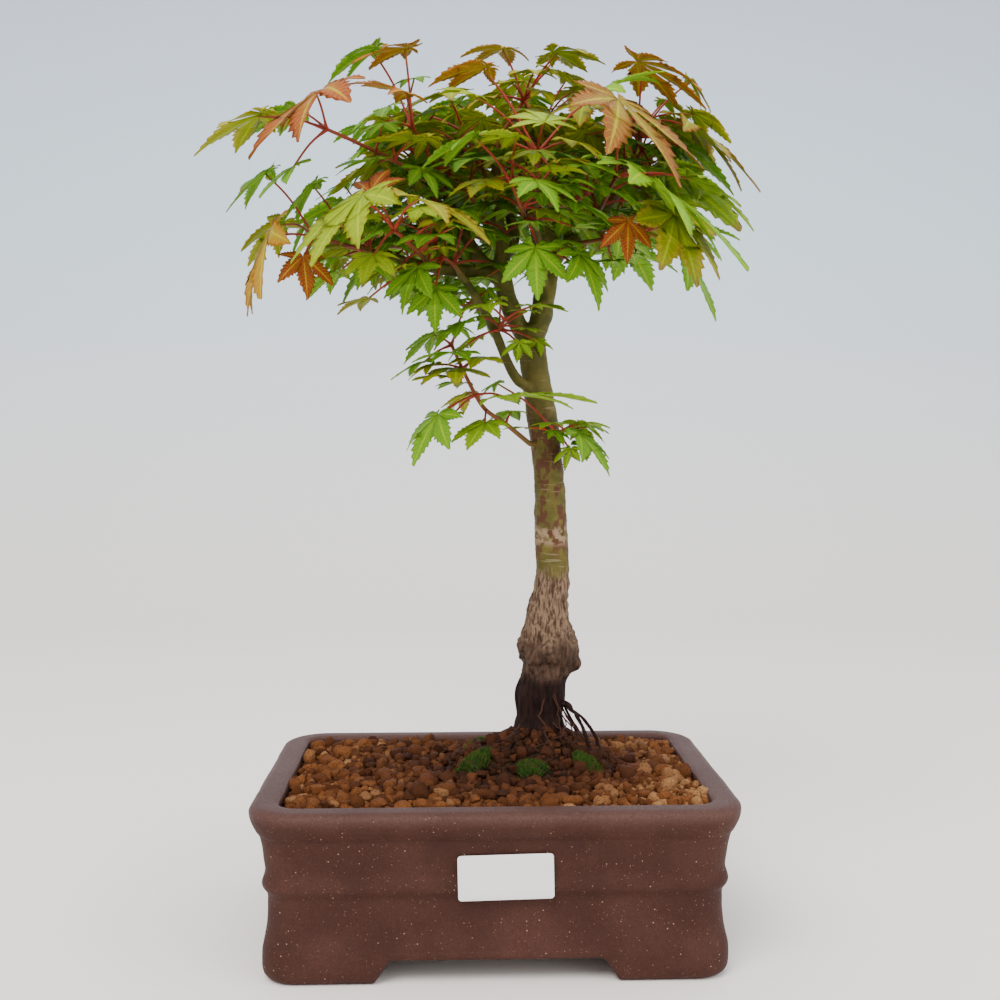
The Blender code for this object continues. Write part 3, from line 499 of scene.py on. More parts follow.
def scattered(spacing, seed, keep):
    """Points of a jittered triangular grid inside the pot's opening."""
    rng = np.random.default_rng(seed)
    x, y = np.meshgrid(np.arange(-93, 93, spacing), np.arange(-63, 63, spacing * 0.87))
    x = x + (np.arange(len(y)) % 2)[:, None] * spacing / 2
    x = (x + rng.uniform(-0.38, 0.38, x.shape) * spacing).ravel()
    y = (y + rng.uniform(-0.38, 0.38, y.shape) * spacing).ravel()
    corner_x = np.maximum(np.abs(x) - (POT_LENGTH / 2 - RIM_WIDTH - INNER_CORNER), 0)
    corner_y = np.maximum(np.abs(y) - (POT_WIDTH / 2 - RIM_WIDTH - INNER_CORNER), 0)
    inside = np.hypot(corner_x, corner_y) < INNER_CORNER - 1.2
    wanted = inside & keep(x, y, rng)
    return x[wanted], y[wanted]


def granule_surface(centres, sizes, seed):
    """Each granule: a ball of 54 faces cut back to nine random planes, so it is blunt and
    angular: radius = min over the planes of depth / (normal . direction)."""
    rng = np.random.default_rng(seed)
    lattice = np.stack(np.meshgrid(*[range(4)] * 3, indexing="ij"), -1).reshape(-1, 3)
    corners = lattice[((lattice == 0) | (lattice == 3)).any(axis=1)]
    index = {tuple(corner): number for number, corner in enumerate(corners.tolist())}
    faces = []
    for axis, side, i, j in np.ndindex(3, 2, 3, 3):
        quad = []
        for across, along in ((i, j), (i + 1, j), (i + 1, j + 1), (i, j + 1)):
            corner = [across, along]
            corner.insert(axis, side * 3)
            quad.append(index[tuple(corner)])
        faces.append(quad if (side + axis) % 2 else quad[::-1])
    ball = corners - 1.5
    ball = ball / np.linalg.norm(ball, axis=1)[:, None]
    count = len(centres)
    normals = rng.normal(size=(count, 9, 3))
    normals /= np.linalg.norm(normals, axis=2)[..., None]
    depths = rng.uniform(0.55, 1.0, (count, 1, 9))
    facing = np.einsum("kj,nmj->nkm", ball, normals).clip(0.05)
    radius = np.minimum((depths / facing).min(axis=2), 1.15) * rng.uniform(0.92, 1.08, (count, 56))
    stretch = rng.uniform(0.8, 1.25, (count, 1, 3))
    shapes = ball * radius[..., None] * stretch * sizes[:, None, None]
    points = centres[:, None, :] + shapes
    all_faces = np.array(faces)[None] + (np.arange(count) * len(ball))[:, None, None]
    return points.reshape(-1, 3), all_faces.reshape(-1, 4).tolist(), len(ball)


def store(piece, name, values, kind="FLOAT", field="value"):
    """A number, colour or vector for each point of a piece."""
    layer = piece.data.attributes.new(name, kind, "POINT")
    layer.data.foreach_set(field, np.ascontiguousarray(values, np.float32).ravel())


def akadama():
    """Fired clay: orange tan when dry, brown when wet, dusty and finely pitted, with painted shade
    darkening the pits.
    """
    finish = Finish("akadama", Roughness=0.9, Specular_IOR_Level=0.08)
    tone = finish.attribute("tone")
    damp = finish.attribute("damp")
    dry = finish.mix(tone.step(0.0, 0.7), (0.080, 0.024, 0.0075), (0.205, 0.072, 0.022))
    dry = finish.mix(tone.step(0.82, 1.0), dry, (0.38, 0.19, 0.075))
    wet = finish.mix(tone, (0.020, 0.007, 0.0035), (0.105, 0.033, 0.012))
    body = finish.mix(damp, dry, wet)
    pits_and_pit_shade = finish.noise(0.8, 4, 0.65)
    # Painted shade: the colour darkens where the pits sink lowest in the bump.
    body = finish.mix(pits_and_pit_shade.step(0.35, 0.6) * -0.6 + 0.6, body, (0.042, 0.015, 0.006))
    finish.vary(Base_Color=body, Roughness=0.92 - damp * 0.25)
    finish.bump(pits_and_pit_shade * 0.7 + finish.noise(2.2, 3) * 0.3, 1.0, 0.9)
    return finish


def dampness(x, y, rng):
    """Wet round the mound and towards the left, driest at the pot's right end."""
    share = mound_share(x, y)
    wet = np.interp(share, (0.8, 1.1, 1.55, 2.1), (1.0, 0.9, 0.55, 0.15))
    wet = wet + np.interp(x, (-60, 0, 45, 75), (0.16, 0.16, 0.0, -0.1))
    return np.clip(wet + rng.normal(0, 0.14, len(x)), 0, 1)


def scatter_granules(name, spacing, seed, size, lift, keep, dark=0.0):
    """One layer of granules: about the spacing apart, and lifted by a share of their size."""
    x, y = scattered(spacing, seed, keep)
    rng = np.random.default_rng(seed + 50)
    sizes = size * rng.lognormal(0, 0.26, len(x)).clip(0.55, 1.65)
    centres = np.column_stack([x, y, ground_height(x, y) + lift * sizes])
    points, faces, per_granule = granule_surface(centres, sizes, seed + 100)
    piece = new_piece(name, points, faces, [akadama_look])
    piece.data.set_sharp_from_angle(angle=math.radians(55))
    tones = rng.uniform(0, 1, len(x)) ** (1 + dark) * (1 - dark * 0.45)
    tones = tones + np.interp(x, (35, 75), (0, 0.3))
    damp = np.clip(dampness(x, y, rng) + dark, 0, 1)
    store(piece, "tone", np.repeat(tones, per_granule))
    store(piece, "damp", np.repeat(damp, per_granule))
    return piece


akadama_look = akadama()
fill_look = Finish("wet_clay_fill", Roughness=0.9)
fill_tone = fill_look.noise(2.5, 3)
fill_look.vary(Base_Color=fill_look.mix(fill_tone, (0.05, 0.02, 0.01), (0.16, 0.065, 0.028)))
fill_look.bump(fill_look.noise(2.5, 4), 1.2)
frame["nodes"]["akadama_bed"].material_slots[0].material = fill_look.material
scatter_granules("granules_lower", 3.9, 11, 2.35, 0.15, lambda x, y, rng: mound_share(x, y) > 0.9)
scatter_granules("granules_upper", 4.7, 12, 2.45, 0.9, lambda x, y, rng: (mound_share(x, y) > 0.95)
                 & (rng.uniform(size=len(x)) < 0.8))
scatter_granules("granule_crumbs", 4.2, 13, 1.1, 1.9, lambda x, y, rng: (mound_share(x, y) > 0.93)
                 & (rng.uniform(size=len(x)) < 0.55))

# ---------------------------------------------------------------- root ball
# The old root ball stands up as a mound of black soil, bound by fine roots and crusted
# with the dark granules of its last repotting.

TRUNK_X = 23.0
TRUNK_Y = 15.0


def from_trunk(x, y):
    """Level distance from the middle of the trunk's foot."""
    return np.hypot(x - TRUNK_X, y - TRUNK_Y)


def mound_surface():
    """Rings of the mound's oval from its block's foot to its top, roughened above the soil."""
    turns = np.linspace(0, 2 * math.pi, 160, endpoint=False)
    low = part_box("root_ball")[0].z / MM
    block = [(low, 0.72), (low + 2.5, 0.86), (low + 8, 0.96), (low + 16, 1.0), (SOIL_Z - 4, 1.0)]
    shares = np.linspace(0.998, 0.03, 60)
    rows = block + [(mound_height(share), share) for share in shares]
    z, share = np.array(rows).T
    points = np.stack([
        MOUND_X + MOUND_HALF_LENGTH * share[:, None] * np.cos(turns),
        MOUND_Y + MOUND_HALF_WIDTH * share[:, None] * np.sin(turns),
        np.repeat(z[:, None], len(turns), 1)], -1).reshape(-1, 3)
    rough = 0.9 * waves(points, 11, 21) + 0.5 * waves(points, 4.5, 22) - 0.3
    above_soil = np.interp(points[:, 2], (SOIL_Z - 2, SOIL_Z + 3), (0, 1))
    clear_of_trunk = np.interp(from_trunk(points[:, 0], points[:, 1]), (12, 20), (0, 1))
    points[:, 2] += rough * above_soil * clear_of_trunk
    return points, capped(len(rows), len(turns))


def dark_soil():
    """Black soil in lumps, with patches of yellowish lichen near the mound's top."""
    finish = Finish("dark_soil", Roughness=0.85, Specular_IOR_Level=0.12)
    lumps = finish.noise(3.2, 5, 0.65)
    body = finish.mix(lumps.step(0.35, 0.65), (0.007, 0.0035, 0.002), (0.036, 0.016, 0.008))
    crust = finish.noise(9, 3).step(0.56, 0.66) * finish.height().step(SOIL_Z + 8, SOIL_Z + 16)
    body = finish.mix(crust * 0.8, body, (0.16, 0.15, 0.035))
    finish.vary(Base_Color=body, Roughness=lumps * 0.4 + 0.6)
    finish.bump(lumps * 0.6 + finish.noise(1.1, 3) * 0.4, 1.4)
    return finish


soil_look = dark_soil()
mound_points, mound_faces = mound_surface()
new_piece("root_mound", mound_points, mound_faces, [soil_look], ["root_ball"])
scatter_granules("mound_granules", 4.0, 14, 1.95, 0.25,
                 lambda x, y, rng: (mound_share(x, y) < 1.02) & (from_trunk(x, y) > 10.5)
                 & (rng.uniform(size=len(x)) < 0.85), 0.4)
scatter_granules("mound_crumbs", 3.1, 15, 1.15, 0.5,
                 lambda x, y, rng: (mound_share(x, y) < 1.0) & (from_trunk(x, y) > 13)
                 & (rng.uniform(size=len(x)) < 0.6), 0.7)

# ---------------------------------------------------------------- moss
# Cushions of short green moss on the damp mound: thousands of upright shoots, a couple of
# millimetres tall, over a felt of their own older stems, coloured near black as painted shade under the
# shoots.

MOSS = (  # x, y, half length, half width, rise
    (-8, -8, 8, 5, 5), (17, -19, 7, 4, 4), (43, -12, 7, 4.5, 4), (-8, 24, 6, 5, 3.5),
    (38, 30, 7, 4.5, 3.5),
)
SPIKES = 900


def moss_surface(x, y, half_x, half_y, rise, seed):
    """A low lens over the mound, then thin three-sided spikes standing out of its top."""
    turns = np.linspace(0, 2 * math.pi, 40, endpoint=False)
    rows = ((0.45, 0.0), (0.9, 0.0), (1.0, 0.18), (0.93, 0.42), (0.8, 0.66), (0.6, 0.86),
            (0.35, 0.97), (0.1, 1.0))
    share, lift = np.array(rows).T
    wobble = 0.93 + 0.13 * np.sin(3 * turns + seed) + 0.08 * np.sin(5 * turns + 2 * seed)
    px = x + half_x * share[:, None] * np.cos(turns) * wobble
    py = y + half_y * share[:, None] * np.sin(turns) * wobble
    lens = np.stack([px, py, ground_height(px, py) + GAP + rise * lift[:, None]], -1).reshape(-1, 3)
    lens[80:] += waves(lens[80:], 3.5, seed)[:, None] * (0.1, 0.1, 0.45)
    rng = np.random.default_rng(seed)
    reach = np.sqrt(rng.uniform(0, 1.05, SPIKES))
    turn = rng.uniform(0, 2 * math.pi, SPIKES)
    own_wobble = np.interp(turn, turns, wobble, period=2 * math.pi)
    base_x = x + half_x * reach * np.cos(turn) * own_wobble
    base_y = y + half_y * reach * np.sin(turn) * own_wobble
    top = rise * np.interp(reach, (0, 0.35, 0.6, 0.8, 0.93, 1.03), (1, 0.97, 0.86, 0.66, 0.42, 0.1))
    base = np.column_stack([base_x, base_y, ground_height(base_x, base_y) + top + 0.1])
    lean = np.column_stack([np.cos(turn) * reach * 0.7, np.sin(turn) * reach * 0.7, np.ones(SPIKES)])
    lean += rng.normal(0, 0.25, (SPIKES, 3))
    tip = base + lean / np.linalg.norm(lean, axis=1)[:, None] * rng.uniform(1.0, 2.4, SPIKES)[:, None]
    corner = rng.uniform(0, 2 * math.pi, SPIKES)[:, None] + np.array([0, 2.1, 4.2])
    foot = np.stack([np.cos(corner), np.sin(corner), np.full(corner.shape, -1.5)], -1)
    ring = base[:, None, :] + 0.28 * foot
    spikes = np.concatenate([ring, tip[:, None, :]], 1).reshape(-1, 3)
    start = len(lens) + np.arange(SPIKES)[:, None, None] * 4
    spike_faces = (start + np.array([(0, 1, 3), (1, 2, 3), (2, 0, 3), (2, 1, 0)])).reshape(-1, 3)
    faces = capped(len(rows), len(turns)) + spike_faces.tolist()
    spike_tones = rng.uniform(0.1, 0.7, (SPIKES, 1)) + [0, 0, 0, 0.3]
    # The lens gets tone 0, the darkest green, as painted shade under the spikes.
    tones = np.concatenate([np.zeros(len(lens)), spike_tones.ravel()])
    return np.concatenate([lens, spikes]), faces, tones


def moss_green():
    """Near-black green at the felt, as painted shade under the shoots, brighter at the spikes' tips,
    brown where the moss is old.
    """
    finish = Finish("moss", Roughness=0.8, Specular_IOR_Level=0.15, Subsurface_Weight=0.2,
                    Subsurface_Scale=0.001)
    tone = finish.attribute("tone")
    # Tone 0 is near black: painted shade at the felt under the shoots.
    body = finish.mix(tone, (0.003, 0.009, 0.002), (0.030, 0.092, 0.006))
    old = finish.noise(4, 3).step(0.48, 0.62)
    finish.vary(Base_Color=finish.mix(old * 0.65, body, (0.045, 0.040, 0.012)))
    finish.bump(finish.noise(0.6, 2), 0.3)
    return finish


moss_look = moss_green()
for number, patch in enumerate(MOSS, 1):
    moss_points, moss_faces, moss_tones_and_felt_shade = moss_surface(*patch, 30 + number)
    cushion = new_piece(f"moss_cushion_{number}", moss_points, moss_faces, [moss_look],
                        [f"moss_patch_{number}"])
    store(cushion, "tone", moss_tones_and_felt_shade)

# ---------------------------------------------------------------- trunk, branches and roots
# One living piece: surface roots, a dark wet foot, the lumpy ring where the graft healed,
# a stretch of cracked grey bark, then smooth olive bark that reddens in the thin branches.

TRUNK_SIDES = 12
BRANCH_SIDES = 7
ROOT_SIDES = 5

WOOD = {
    "trunk": (
        (24, 15, 14, 11.0), (23, 15, 21, 12.6), (23, 15, 27, 11.2), (24, 15, 39, 11.6),
        (26, 15, 48, 11.0), (27.6, 15, 54, 13.6), (27.2, 15, 61, 15.0), (26.8, 15, 67, 12.2),
        (27, 15, 78, 10.0), (28.7, 15, 90, 8.4), (29.2, 15, 101, 7.9), (28.3, 15, 119, 8.0),
        (27.8, 15, 136, 7.3), (26.3, 15, 153, 7.2), (24, 16, 171, 7.4), (22.4, 17, 181, 7.0),
        (20, 18, 199, 6.5), (19, 18, 208, 6.7), (18, 18, 214, 5.5),
    ),
    "right_leader": (
        (19, 18, 204, 4.4), (23.5, 18, 217, 5.3), (24.9, 19, 226, 5.3), (26.3, 20, 235, 5.4),
        (28, 21, 243, 4.8), (29.2, 22, 252, 4.3), (25, 23, 260, 3.8), (21, 24, 266, 3.4),
        (17.2, 26, 276, 2.8),
    ),
    "right_arm": (
        (27, 20, 240, 3.4), (33, 23, 250, 3.7), (39.3, 26, 256, 3.5), (49.3, 32, 265, 3.1),
        (62.7, 38, 282, 2.6), (67.5, 42, 291, 2.2),
    ),
    "right_rear_arm": (
        (28, 21, 246, 3.2), (34, 36, 256, 3.0), (40, 52, 267, 2.5), (44, 66, 279, 2.0),
    ),
    "left_leader": (
        (18, 18, 205, 4.2), (11.3, 17, 217, 4.5), (7.7, 16, 226, 4.5), (5.3, 15, 235, 4.6),
        (4.8, 15, 242, 4.2), (5.3, 16, 252, 3.5), (2.9, 18, 265, 3.1), (6.2, 22, 275, 2.7),
        (1.9, 26, 290, 2.2),
    ),
    "left_arm": (
        (5.3, 15, 235, 3.4), (-3, 12, 238, 3.3), (-16.3, 8, 238.5, 3.0), (-30.7, 3, 240, 2.6),
        (-53, -6, 244, 2.0),
    ),
    "left_rear_arm": (
        (5, 15, 237, 3.2), (-7.2, 22, 241, 3.0), (-23, 32, 245, 2.6), (-31, 42, 250, 2.2),
        (-40, 54, 256, 1.9),
    ),
    "left_rising": (
        (3, 15, 239, 3.2), (-5.3, 17, 245, 3.3), (-11, 19, 254, 3.1), (-15.3, 22, 262, 2.8),
        (-20, 24, 274, 2.2),
    ),
    "middle_stem": (
        (5, 16, 244, 2.9), (11, 22, 256, 2.8), (8, 30, 273, 2.3), (9, 38, 284, 1.9),
    ),
    "front_arm": (
        (24.5, 18, 232, 2.8), (23, 8, 243, 2.7), (19, -8, 256, 2.3), (18, -24, 267, 1.9),
    ),
    "low_branch": (
        (21, 15, 182, 2.8), (10.5, 9, 190, 2.4), (1, 6, 211, 2.2), (-4, 3, 220, 2.1),
        (-10, 0, 229, 2.0), (-15, -3, 236, 1.8),
    ),
}
# Surface roots as bearings from the trunk with a reach and a radius, and their bend.
SURFACE_ROOTS = (
    (-190, 32, 3.0, 18), (-140, 32, 3.6, 15), (-96, 30, 4.0, 20), (-38, 28, 3.0, 14),
    (8, 26, 2.8, 15), (62, 20, 3.2, 15), (118, 22, 2.6, 20),
)
AERIAL_ROOTS = (
    ((31, 8, 39), (40, 4, 29), (44, 1, 20), (46, -1)),
    ((33, 10, 34), (43, 10, 27), (50, 9, 17), (51, 8)),
)


def wood_path(name):
    """Rows of x, y, z and radius along a piece of the wood, in the pot's own frame."""
    return smooth_path(WOOD[name], 9.0 if name == "trunk" else 11.0) + (0, 0, SOIL_Z, 0)


def surface_root(bearing, reach, radius, bend):
    """Root that leaves the trunk's foot and lies on the mound, swinging by bend degrees."""
    x, y, _, _ = WOOD["trunk"][1]
    rows = []
    for share in (0.1, 0.3, 0.5, 0.7, 0.85, 1.0):
        turn = math.radians(bearing + bend * share)
        px = x + reach * share * math.cos(turn)
        py = y + reach * share * math.sin(turn)
        size = radius * (1.15 - 0.75 * share)
        rows.append((px, py, mound_height(mound_share(px, py)) + size + GAP + 0.2, size))
    return smooth_path(rows, 5.0)


def aerial_root(waypoints):
    """Thin root from the bark down to the mound."""
    rows = [(x, y, z + SOIL_Z, 1.0) for x, y, z in waypoints[:-1]]
    x, y = waypoints[-1]
    rows.append((x, y, mound_height(mound_share(x, y)) + 1.0 + GAP, 0.9))
    return smooth_path(rows, 6.0)


def wood_tube(path, sides):
    """Tube along rows of x, y, z and radius."""
    return tube(path[:, :3], path[:, 3], sides)


def wood_shapes():
    """The trunk's tube first, then every branch and root that grew from it."""
    wood = [wood_tube(wood_path(name), TRUNK_SIDES if name == "trunk" else BRANCH_SIDES)
            for name in WOOD]
    roots = [surface_root(*row) for row in SURFACE_ROOTS] + [aerial_root(row) for row in AERIAL_ROOTS]
    return wood + [wood_tube(path, ROOT_SIDES) for path in roots]


def fine_roots(count, seed):
    """Wiry roots from the trunk's foot, each a path that wanders down over the mound."""
    rng = np.random.default_rng(seed)
    shapes = []
    for _ in range(count):
        turn = rng.uniform(0, 2 * math.pi)
        reach = np.linspace(0.0, rng.uniform(12, 26), 12)
        swing = turn + np.cumsum(rng.normal(0, 0.10, 12))
        x = TRUNK_X + (10.5 + reach) * np.cos(swing)
        y = TRUNK_Y + (10.5 + reach) * np.sin(swing)
        hang = 22.0 if math.cos(turn + 0.5) > 0.6 else 3.0
        arch = rng.uniform(0, hang) * np.exp(-reach / 6)
        arch = arch + rng.uniform(0.1, 1.6) * np.sin(reach / 4) ** 2
        rows = np.column_stack([x, y, ground_height(x, y) + 0.6 + arch])
        size = rng.uniform(0.25, 0.65)
        shapes.append(tube(rows, np.linspace(size, 0.25, 12), 6))
    return shapes


def gathered(shapes):
    """Several shapes as one list of points and faces."""
    points, faces, start = [], [], 0
    for shape_points, shape_faces in shapes:
        points.append(shape_points)
        faces += [[start + i for i in face] for face in shape_faces]
        start += len(shape_points)
    return np.concatenate(points), faces


SMOOTH_WOOD_SIDES = 28
SMOOTH_SURFACE_ROOT_SIDES = 14
SMOOTH_ROOT_SIDES = 10
SURFACE_ROOT_SINK = 2.6
SURFACE_ROOT_THINNING = 0.58


def smooth_wood():
    """The wood's tubes again with more sides. The surface roots are thinner and lie lower, so
    that granules heap over them."""
    wood = [smooth_path(rows, 3.0) + (0, 0, SOIL_Z, 0) for rows in WOOD.values()]
    sunk = [smooth_path(surface_root(*row), 2.0) - (0, 0, SURFACE_ROOT_SINK, 0)
            for row in SURFACE_ROOTS]
    sunk = [path * (1, 1, 1, SURFACE_ROOT_THINNING) for path in sunk]
    return ([wood_tube(path, SMOOTH_WOOD_SIDES) for path in wood]
            + [wood_tube(path, SMOOTH_SURFACE_ROOT_SIDES) for path in sunk]
            + [wood_tube(aerial_root(row), SMOOTH_ROOT_SIDES) for row in AERIAL_ROOTS])


def roughen_bark(piece):
    """Moves each point along its normal: graft lumps, upright cracks, faint rings above."""
    mesh = piece.data
    count = len(mesh.vertices)
    points, normals = np.empty(count * 3), np.empty(count * 3)
    mesh.vertices.foreach_get("co", points)
    mesh.vertices.foreach_get("normal", normals)
    points = points.reshape(-1, 3)
    normals = normals.reshape(-1, 3)
    own = (points - pot_middle) / MM
    z = own[:, 2] - SOIL_Z
    graft = np.interp(z, (42, 52, 62, 74), (0, 1, 1, 0))
    cracked = np.interp(z, (56, 66, 92, 104), (0, 1, 1, 0))
    foot = np.interp(z, (20, 30, 50, 60), (0.3, 1, 1, 0))
    smooth = np.interp(z, (92, 108), (0, 1))
    upright = np.column_stack([own[:, 0], own[:, 1], own[:, 2] * 0.22])
    move = graft * (1.3 * waves(own, 9, 41) + 0.6 * np.abs(waves(own, 4.5, 42)))
    move += cracked * (0.85 * np.abs(waves(upright, 4.2, 43)) - 0.5 + 0.35 * waves(own, 3, 44))
    move += foot * (0.8 * np.abs(waves(upright, 5.5, 45)) - 0.4)
    move += smooth * (0.22 * waves(own, 7, 46) + 0.08 * waves(own * (0.3, 0.3, 1.5), 2.4, 47))
    slender = np.interp(np.hypot(own[:, 0] - 26, own[:, 1] - 16), (14, 20), (1, 0.35))
    points += normals * (move * slender * MM)[:, None]
    mesh.vertices.foreach_set("co", points.ravel())
    mesh.update()


def bark():
    """Bark by height: wet foot, graft, cracked grey stretch, olive trunk, reddish branches."""
    finish = Finish("maple_bark", Roughness=0.75, Specular_IOR_Level=0.14)
    z = finish.height() - SOIL_Z
    drift = (finish.noise(12, 3) - 0.5) * 16
    long_grain = finish.noise(2.2, 5, 0.65, finish.stretched(1.0, 1.0, 0.22))
    fine_grain = finish.noise(1.1, 4, 0.6, finish.stretched(1.0, 1.0, 0.2))
    spots = finish.noise(4.0, 3, 0.6, finish.stretched(1.0, 1.0, 0.6))
    flecks = finish.noise(1.3, 3, 0.6)
    foot = finish.mix(long_grain.step(0.35, 0.65), (0.006, 0.0022, 0.0018), (0.022, 0.0085, 0.006))
    graft = finish.mix(long_grain.step(0.3, 0.65), (0.022, 0.0115, 0.008), (0.092, 0.053, 0.034))
    grey = finish.mix(fine_grain.step(0.38, 0.62), (0.050, 0.027, 0.017), (0.215, 0.138, 0.086))
    olive = finish.mix(finish.noise(9, 3).step(0.3, 0.7), (0.066, 0.060, 0.010), (0.132, 0.104, 0.020))
    olive = finish.mix(flecks.step(0.4, 0.65) * 0.35, olive, (0.10, 0.085, 0.035))
    brown = spots.step(0.46, 0.54) * (z + drift).step(98, 110) * (1 - (z + drift).step(160, 186))
    olive = finish.mix(brown * 0.9, olive, (0.082, 0.028, 0.016))
    cork = (1 - (z - 114).absolute().step(2, 6)) * finish.noise(4, 3).step(0.44, 0.54)
    olive = finish.mix(cork * 0.85, olive, (0.30, 0.20, 0.125))
    lines = finish.noise(1.6, 2, 0.5, finish.stretched(0.12, 0.12, 1.0)).step(0.60, 0.70)
    olive = finish.mix(lines * 0.35, olive, (0.30, 0.26, 0.14))
    branch = finish.mix(finish.noise(6, 3).step(0.35, 0.65), (0.066, 0.068, 0.013), (0.135, 0.118, 0.026))
    branch = finish.mix((z + drift).step(258, 300) * 0.6, branch, (0.155, 0.060, 0.030))
    body = finish.mix((z + drift * 0.4).step(42, 50), foot, graft)
    body = finish.mix((z + drift).step(58, 70), body, grey)
    body = finish.mix((z + drift * 1.3).step(90, 102), body, olive)
    body = finish.mix((z + drift).step(196, 216), body, branch)
    rough = long_grain * (1 - (z + drift).step(92, 108))
    finish.vary(Base_Color=body, Roughness=0.55 + (1 - (z + drift).step(95, 110)) * 0.28)
    relief = rough * 0.7 + fine_grain * rough * 0.6 + flecks * 0.12 + spots * 0.12 + lines * 0.08
    finish.bump(relief, 1.1, 0.85)
    return finish


bark_look = bark()
wood_points, wood_faces = gathered(smooth_wood())
wood = new_piece("maple_wood", wood_points, wood_faces, [bark_look], ["trunk"])
remesh = wood.modifiers.new("grown_together", "REMESH")
remesh.mode = "VOXEL"
remesh.voxel_size = 0.62 * MM
remesh.use_smooth_shade = True
soften = wood.modifiers.new("soften", "SMOOTH")
soften.factor = 0.5
soften.iterations = 6
apply_modifiers(wood)
wood.data.materials.clear()
wood.data.materials.append(bark_look.material)
roughen_bark(wood)

root_look = Finish("fine_roots", Roughness=0.8, Specular_IOR_Level=0.15)
root_tone = root_look.noise(4, 3)
root_look.vary(Base_Color=root_look.mix(root_tone, (0.016, 0.006, 0.0045), (0.070, 0.027, 0.016)))
root_look.bump(root_look.noise(0.8, 2), 0.2)
root_points, root_faces = gathered(fine_roots(42, 61))
new_piece("wiry_roots", root_points, root_faces, [root_look])

# ---------------------------------------------------------------- leafy shoots
# Each shoot is a thin stem with red leaf stalks and lobed leaves in opposite pairs. The
# blades have seven saw-edged lobes and turn from green to orange and pink in new growth.

BLADE_THICKNESS = 0.9
PETIOLE_RADIUS = 0.75
STEM_RADIUS = 1.25
STEM_TIP_RADIUS = 0.8
LARGE_LEAF = 36.0  # leaves above this size are drawn with longer outer lobes
LEAF_SPACE = 0.35
LEAF_DROOP = 0.16
CROWN_REACH = 88.0
FILL_TRIES = 12

Leaf = namedtuple("Leaf", "x y z heading dip size tone")

# Shoots given one by one: branch, place along it, waypoints, then the leaves at its end. A leaf's
# heading runs counter-clockwise from +X as seen from above, and its dip is below the level.
SET_SHOOTS = (
    ("left_rising", 0.98, ((-30, 0, 279), (-52, -24, 286), (-72, -38, 292)), (
        Leaf(-72, -52, 305, -148, 36, 49, "coral"),
        Leaf(-94, -32, 296, -172, 26, 37, "yellow_green"),
        Leaf(-84, -50, 274, -150, 36, 24, "green"),
        Leaf(-88, -16, 306, 165, 12, 27, "green"))),
    ("left_rising", 1.0, ((-26, 10, 286), (-36, -18, 298)), (
        Leaf(-38, -54, 303, 148, -22, 29, "orange"),
        Leaf(-37, -24, 331, -165, 8, 27, "orange"),
        Leaf(-54, -14, 336, 178, 22, 29, "green"))),
    ("left_arm", 1.0, ((-66, -11, 247), (-80, -17, 250)), (
        Leaf(-99, -20, 252, -162, 66, 42, "amber"),
        Leaf(-84, -26, 240, -70, 62, 20, "red"),
        Leaf(-101, -8, 281, -172, 36, 29, "green"),
        Leaf(-97, 12, 262, 158, 34, 30, "yellow_green"))),
    ("left_arm", 0.62, ((-34, -20, 243), (-43, -48, 248)), (
        Leaf(-54, -76, 257, -138, 42, 42, "lime"),
        Leaf(-35, -76, 255, -22, 16, 38, "olive"),
        Leaf(-52, -60, 261, 70, -48, 21, "red"),
        Leaf(-51, -58, 236, -100, 34, 20, "lime"))),
    ("front_arm", 1.0, ((19, -34, 272), (18, -40, 282)), (
        Leaf(-3, -44, 317, 176, 4, 28, "orange"),
        Leaf(45, -34, 310, 28, -30, 33, "bright_green"),
        Leaf(19, -72, 287, 96, -34, 27, "lime"),
        Leaf(-8, -60, 301, 140, -24, 21, "lime"))),
    ("front_arm", 0.78, ((12, -24, 262), (7, -38, 270)), (
        Leaf(9, -66, 283, 152, -6, 20, "lime"),
        Leaf(-10, -58, 284, -172, 22, 27, "green"),
        Leaf(16, -62, 266, -60, 30, 24, "green"))),
    ("left_leader", 1.0, ((5, 20, 304), (15, 10, 318)), (
        Leaf(34, 22, 344, 78, -14, 27, "olive"),
        Leaf(6, 2, 340, 126, -6, 25, "amber"),
        Leaf(27, -8, 335, -4, 4, 26, "olive"))),
    ("right_arm", 1.0, ((71, 37, 301), (71, 22, 305), (68, 4, 307)), (
        Leaf(59, -20, 322, -8, 12, 43, "orange"),
        Leaf(88, -12, 303, -18, 36, 45, "rosy_green"),
        Leaf(92, 14, 300, 12, 30, 34, "green"))),
    ("right_arm", 0.5, ((52, 6, 270), (54, -22, 276)), (
        Leaf(50, -60, 300, -48, 42, 50, "rose"),
        Leaf(61, -60, 269, -22, 34, 57, "bright_green"))),
    ("right_arm", 0.28, ((52, 4, 253), (66, -22, 252)), (
        Leaf(84, -50, 254, -62, 68, 42, "olive"),
        Leaf(58, -34, 255, -84, 76, 19, "red"),
        Leaf(86, -6, 246, -24, 52, 36, "green"))),
    ("front_arm", 0.35, ((26, -8, 245), (24, -18, 246)), (
        Leaf(18, -28, 244, -96, 66, 26, "green"),
        Leaf(38, -24, 242, -40, 58, 28, "green"))),
    ("trunk", 0.72, ((6, 0, 167), (-3, -5, 173), (-8, -7, 180), (-14, -6, 192), (-19, -5, 203)), (
        Leaf(-17, -14, 192, -88, 10, 25, "yellow_green"),
        Leaf(2, -17, 179, -4, -6, 42, "light_green"),
        Leaf(-25, -17, 171, -142, 50, 27, "green"),
        Leaf(-14, -20, 212, -150, 30, 20, "green"))),
    ("trunk", 0.735, ((34, 2, 164), (37, -2, 164)), (
        Leaf(39, -10, 163, -30, 42, 27, "green"),
        Leaf(40, 4, 168, 40, 36, 18, "light_green"))),
    ("low_branch", 1.0, ((-19, -8, 240), (-23, -12, 242)), (
        Leaf(-34, -22, 236, -130, 54, 24, "green"),
        Leaf(-26, -28, 226, -100, 60, 21, "green"))),
)

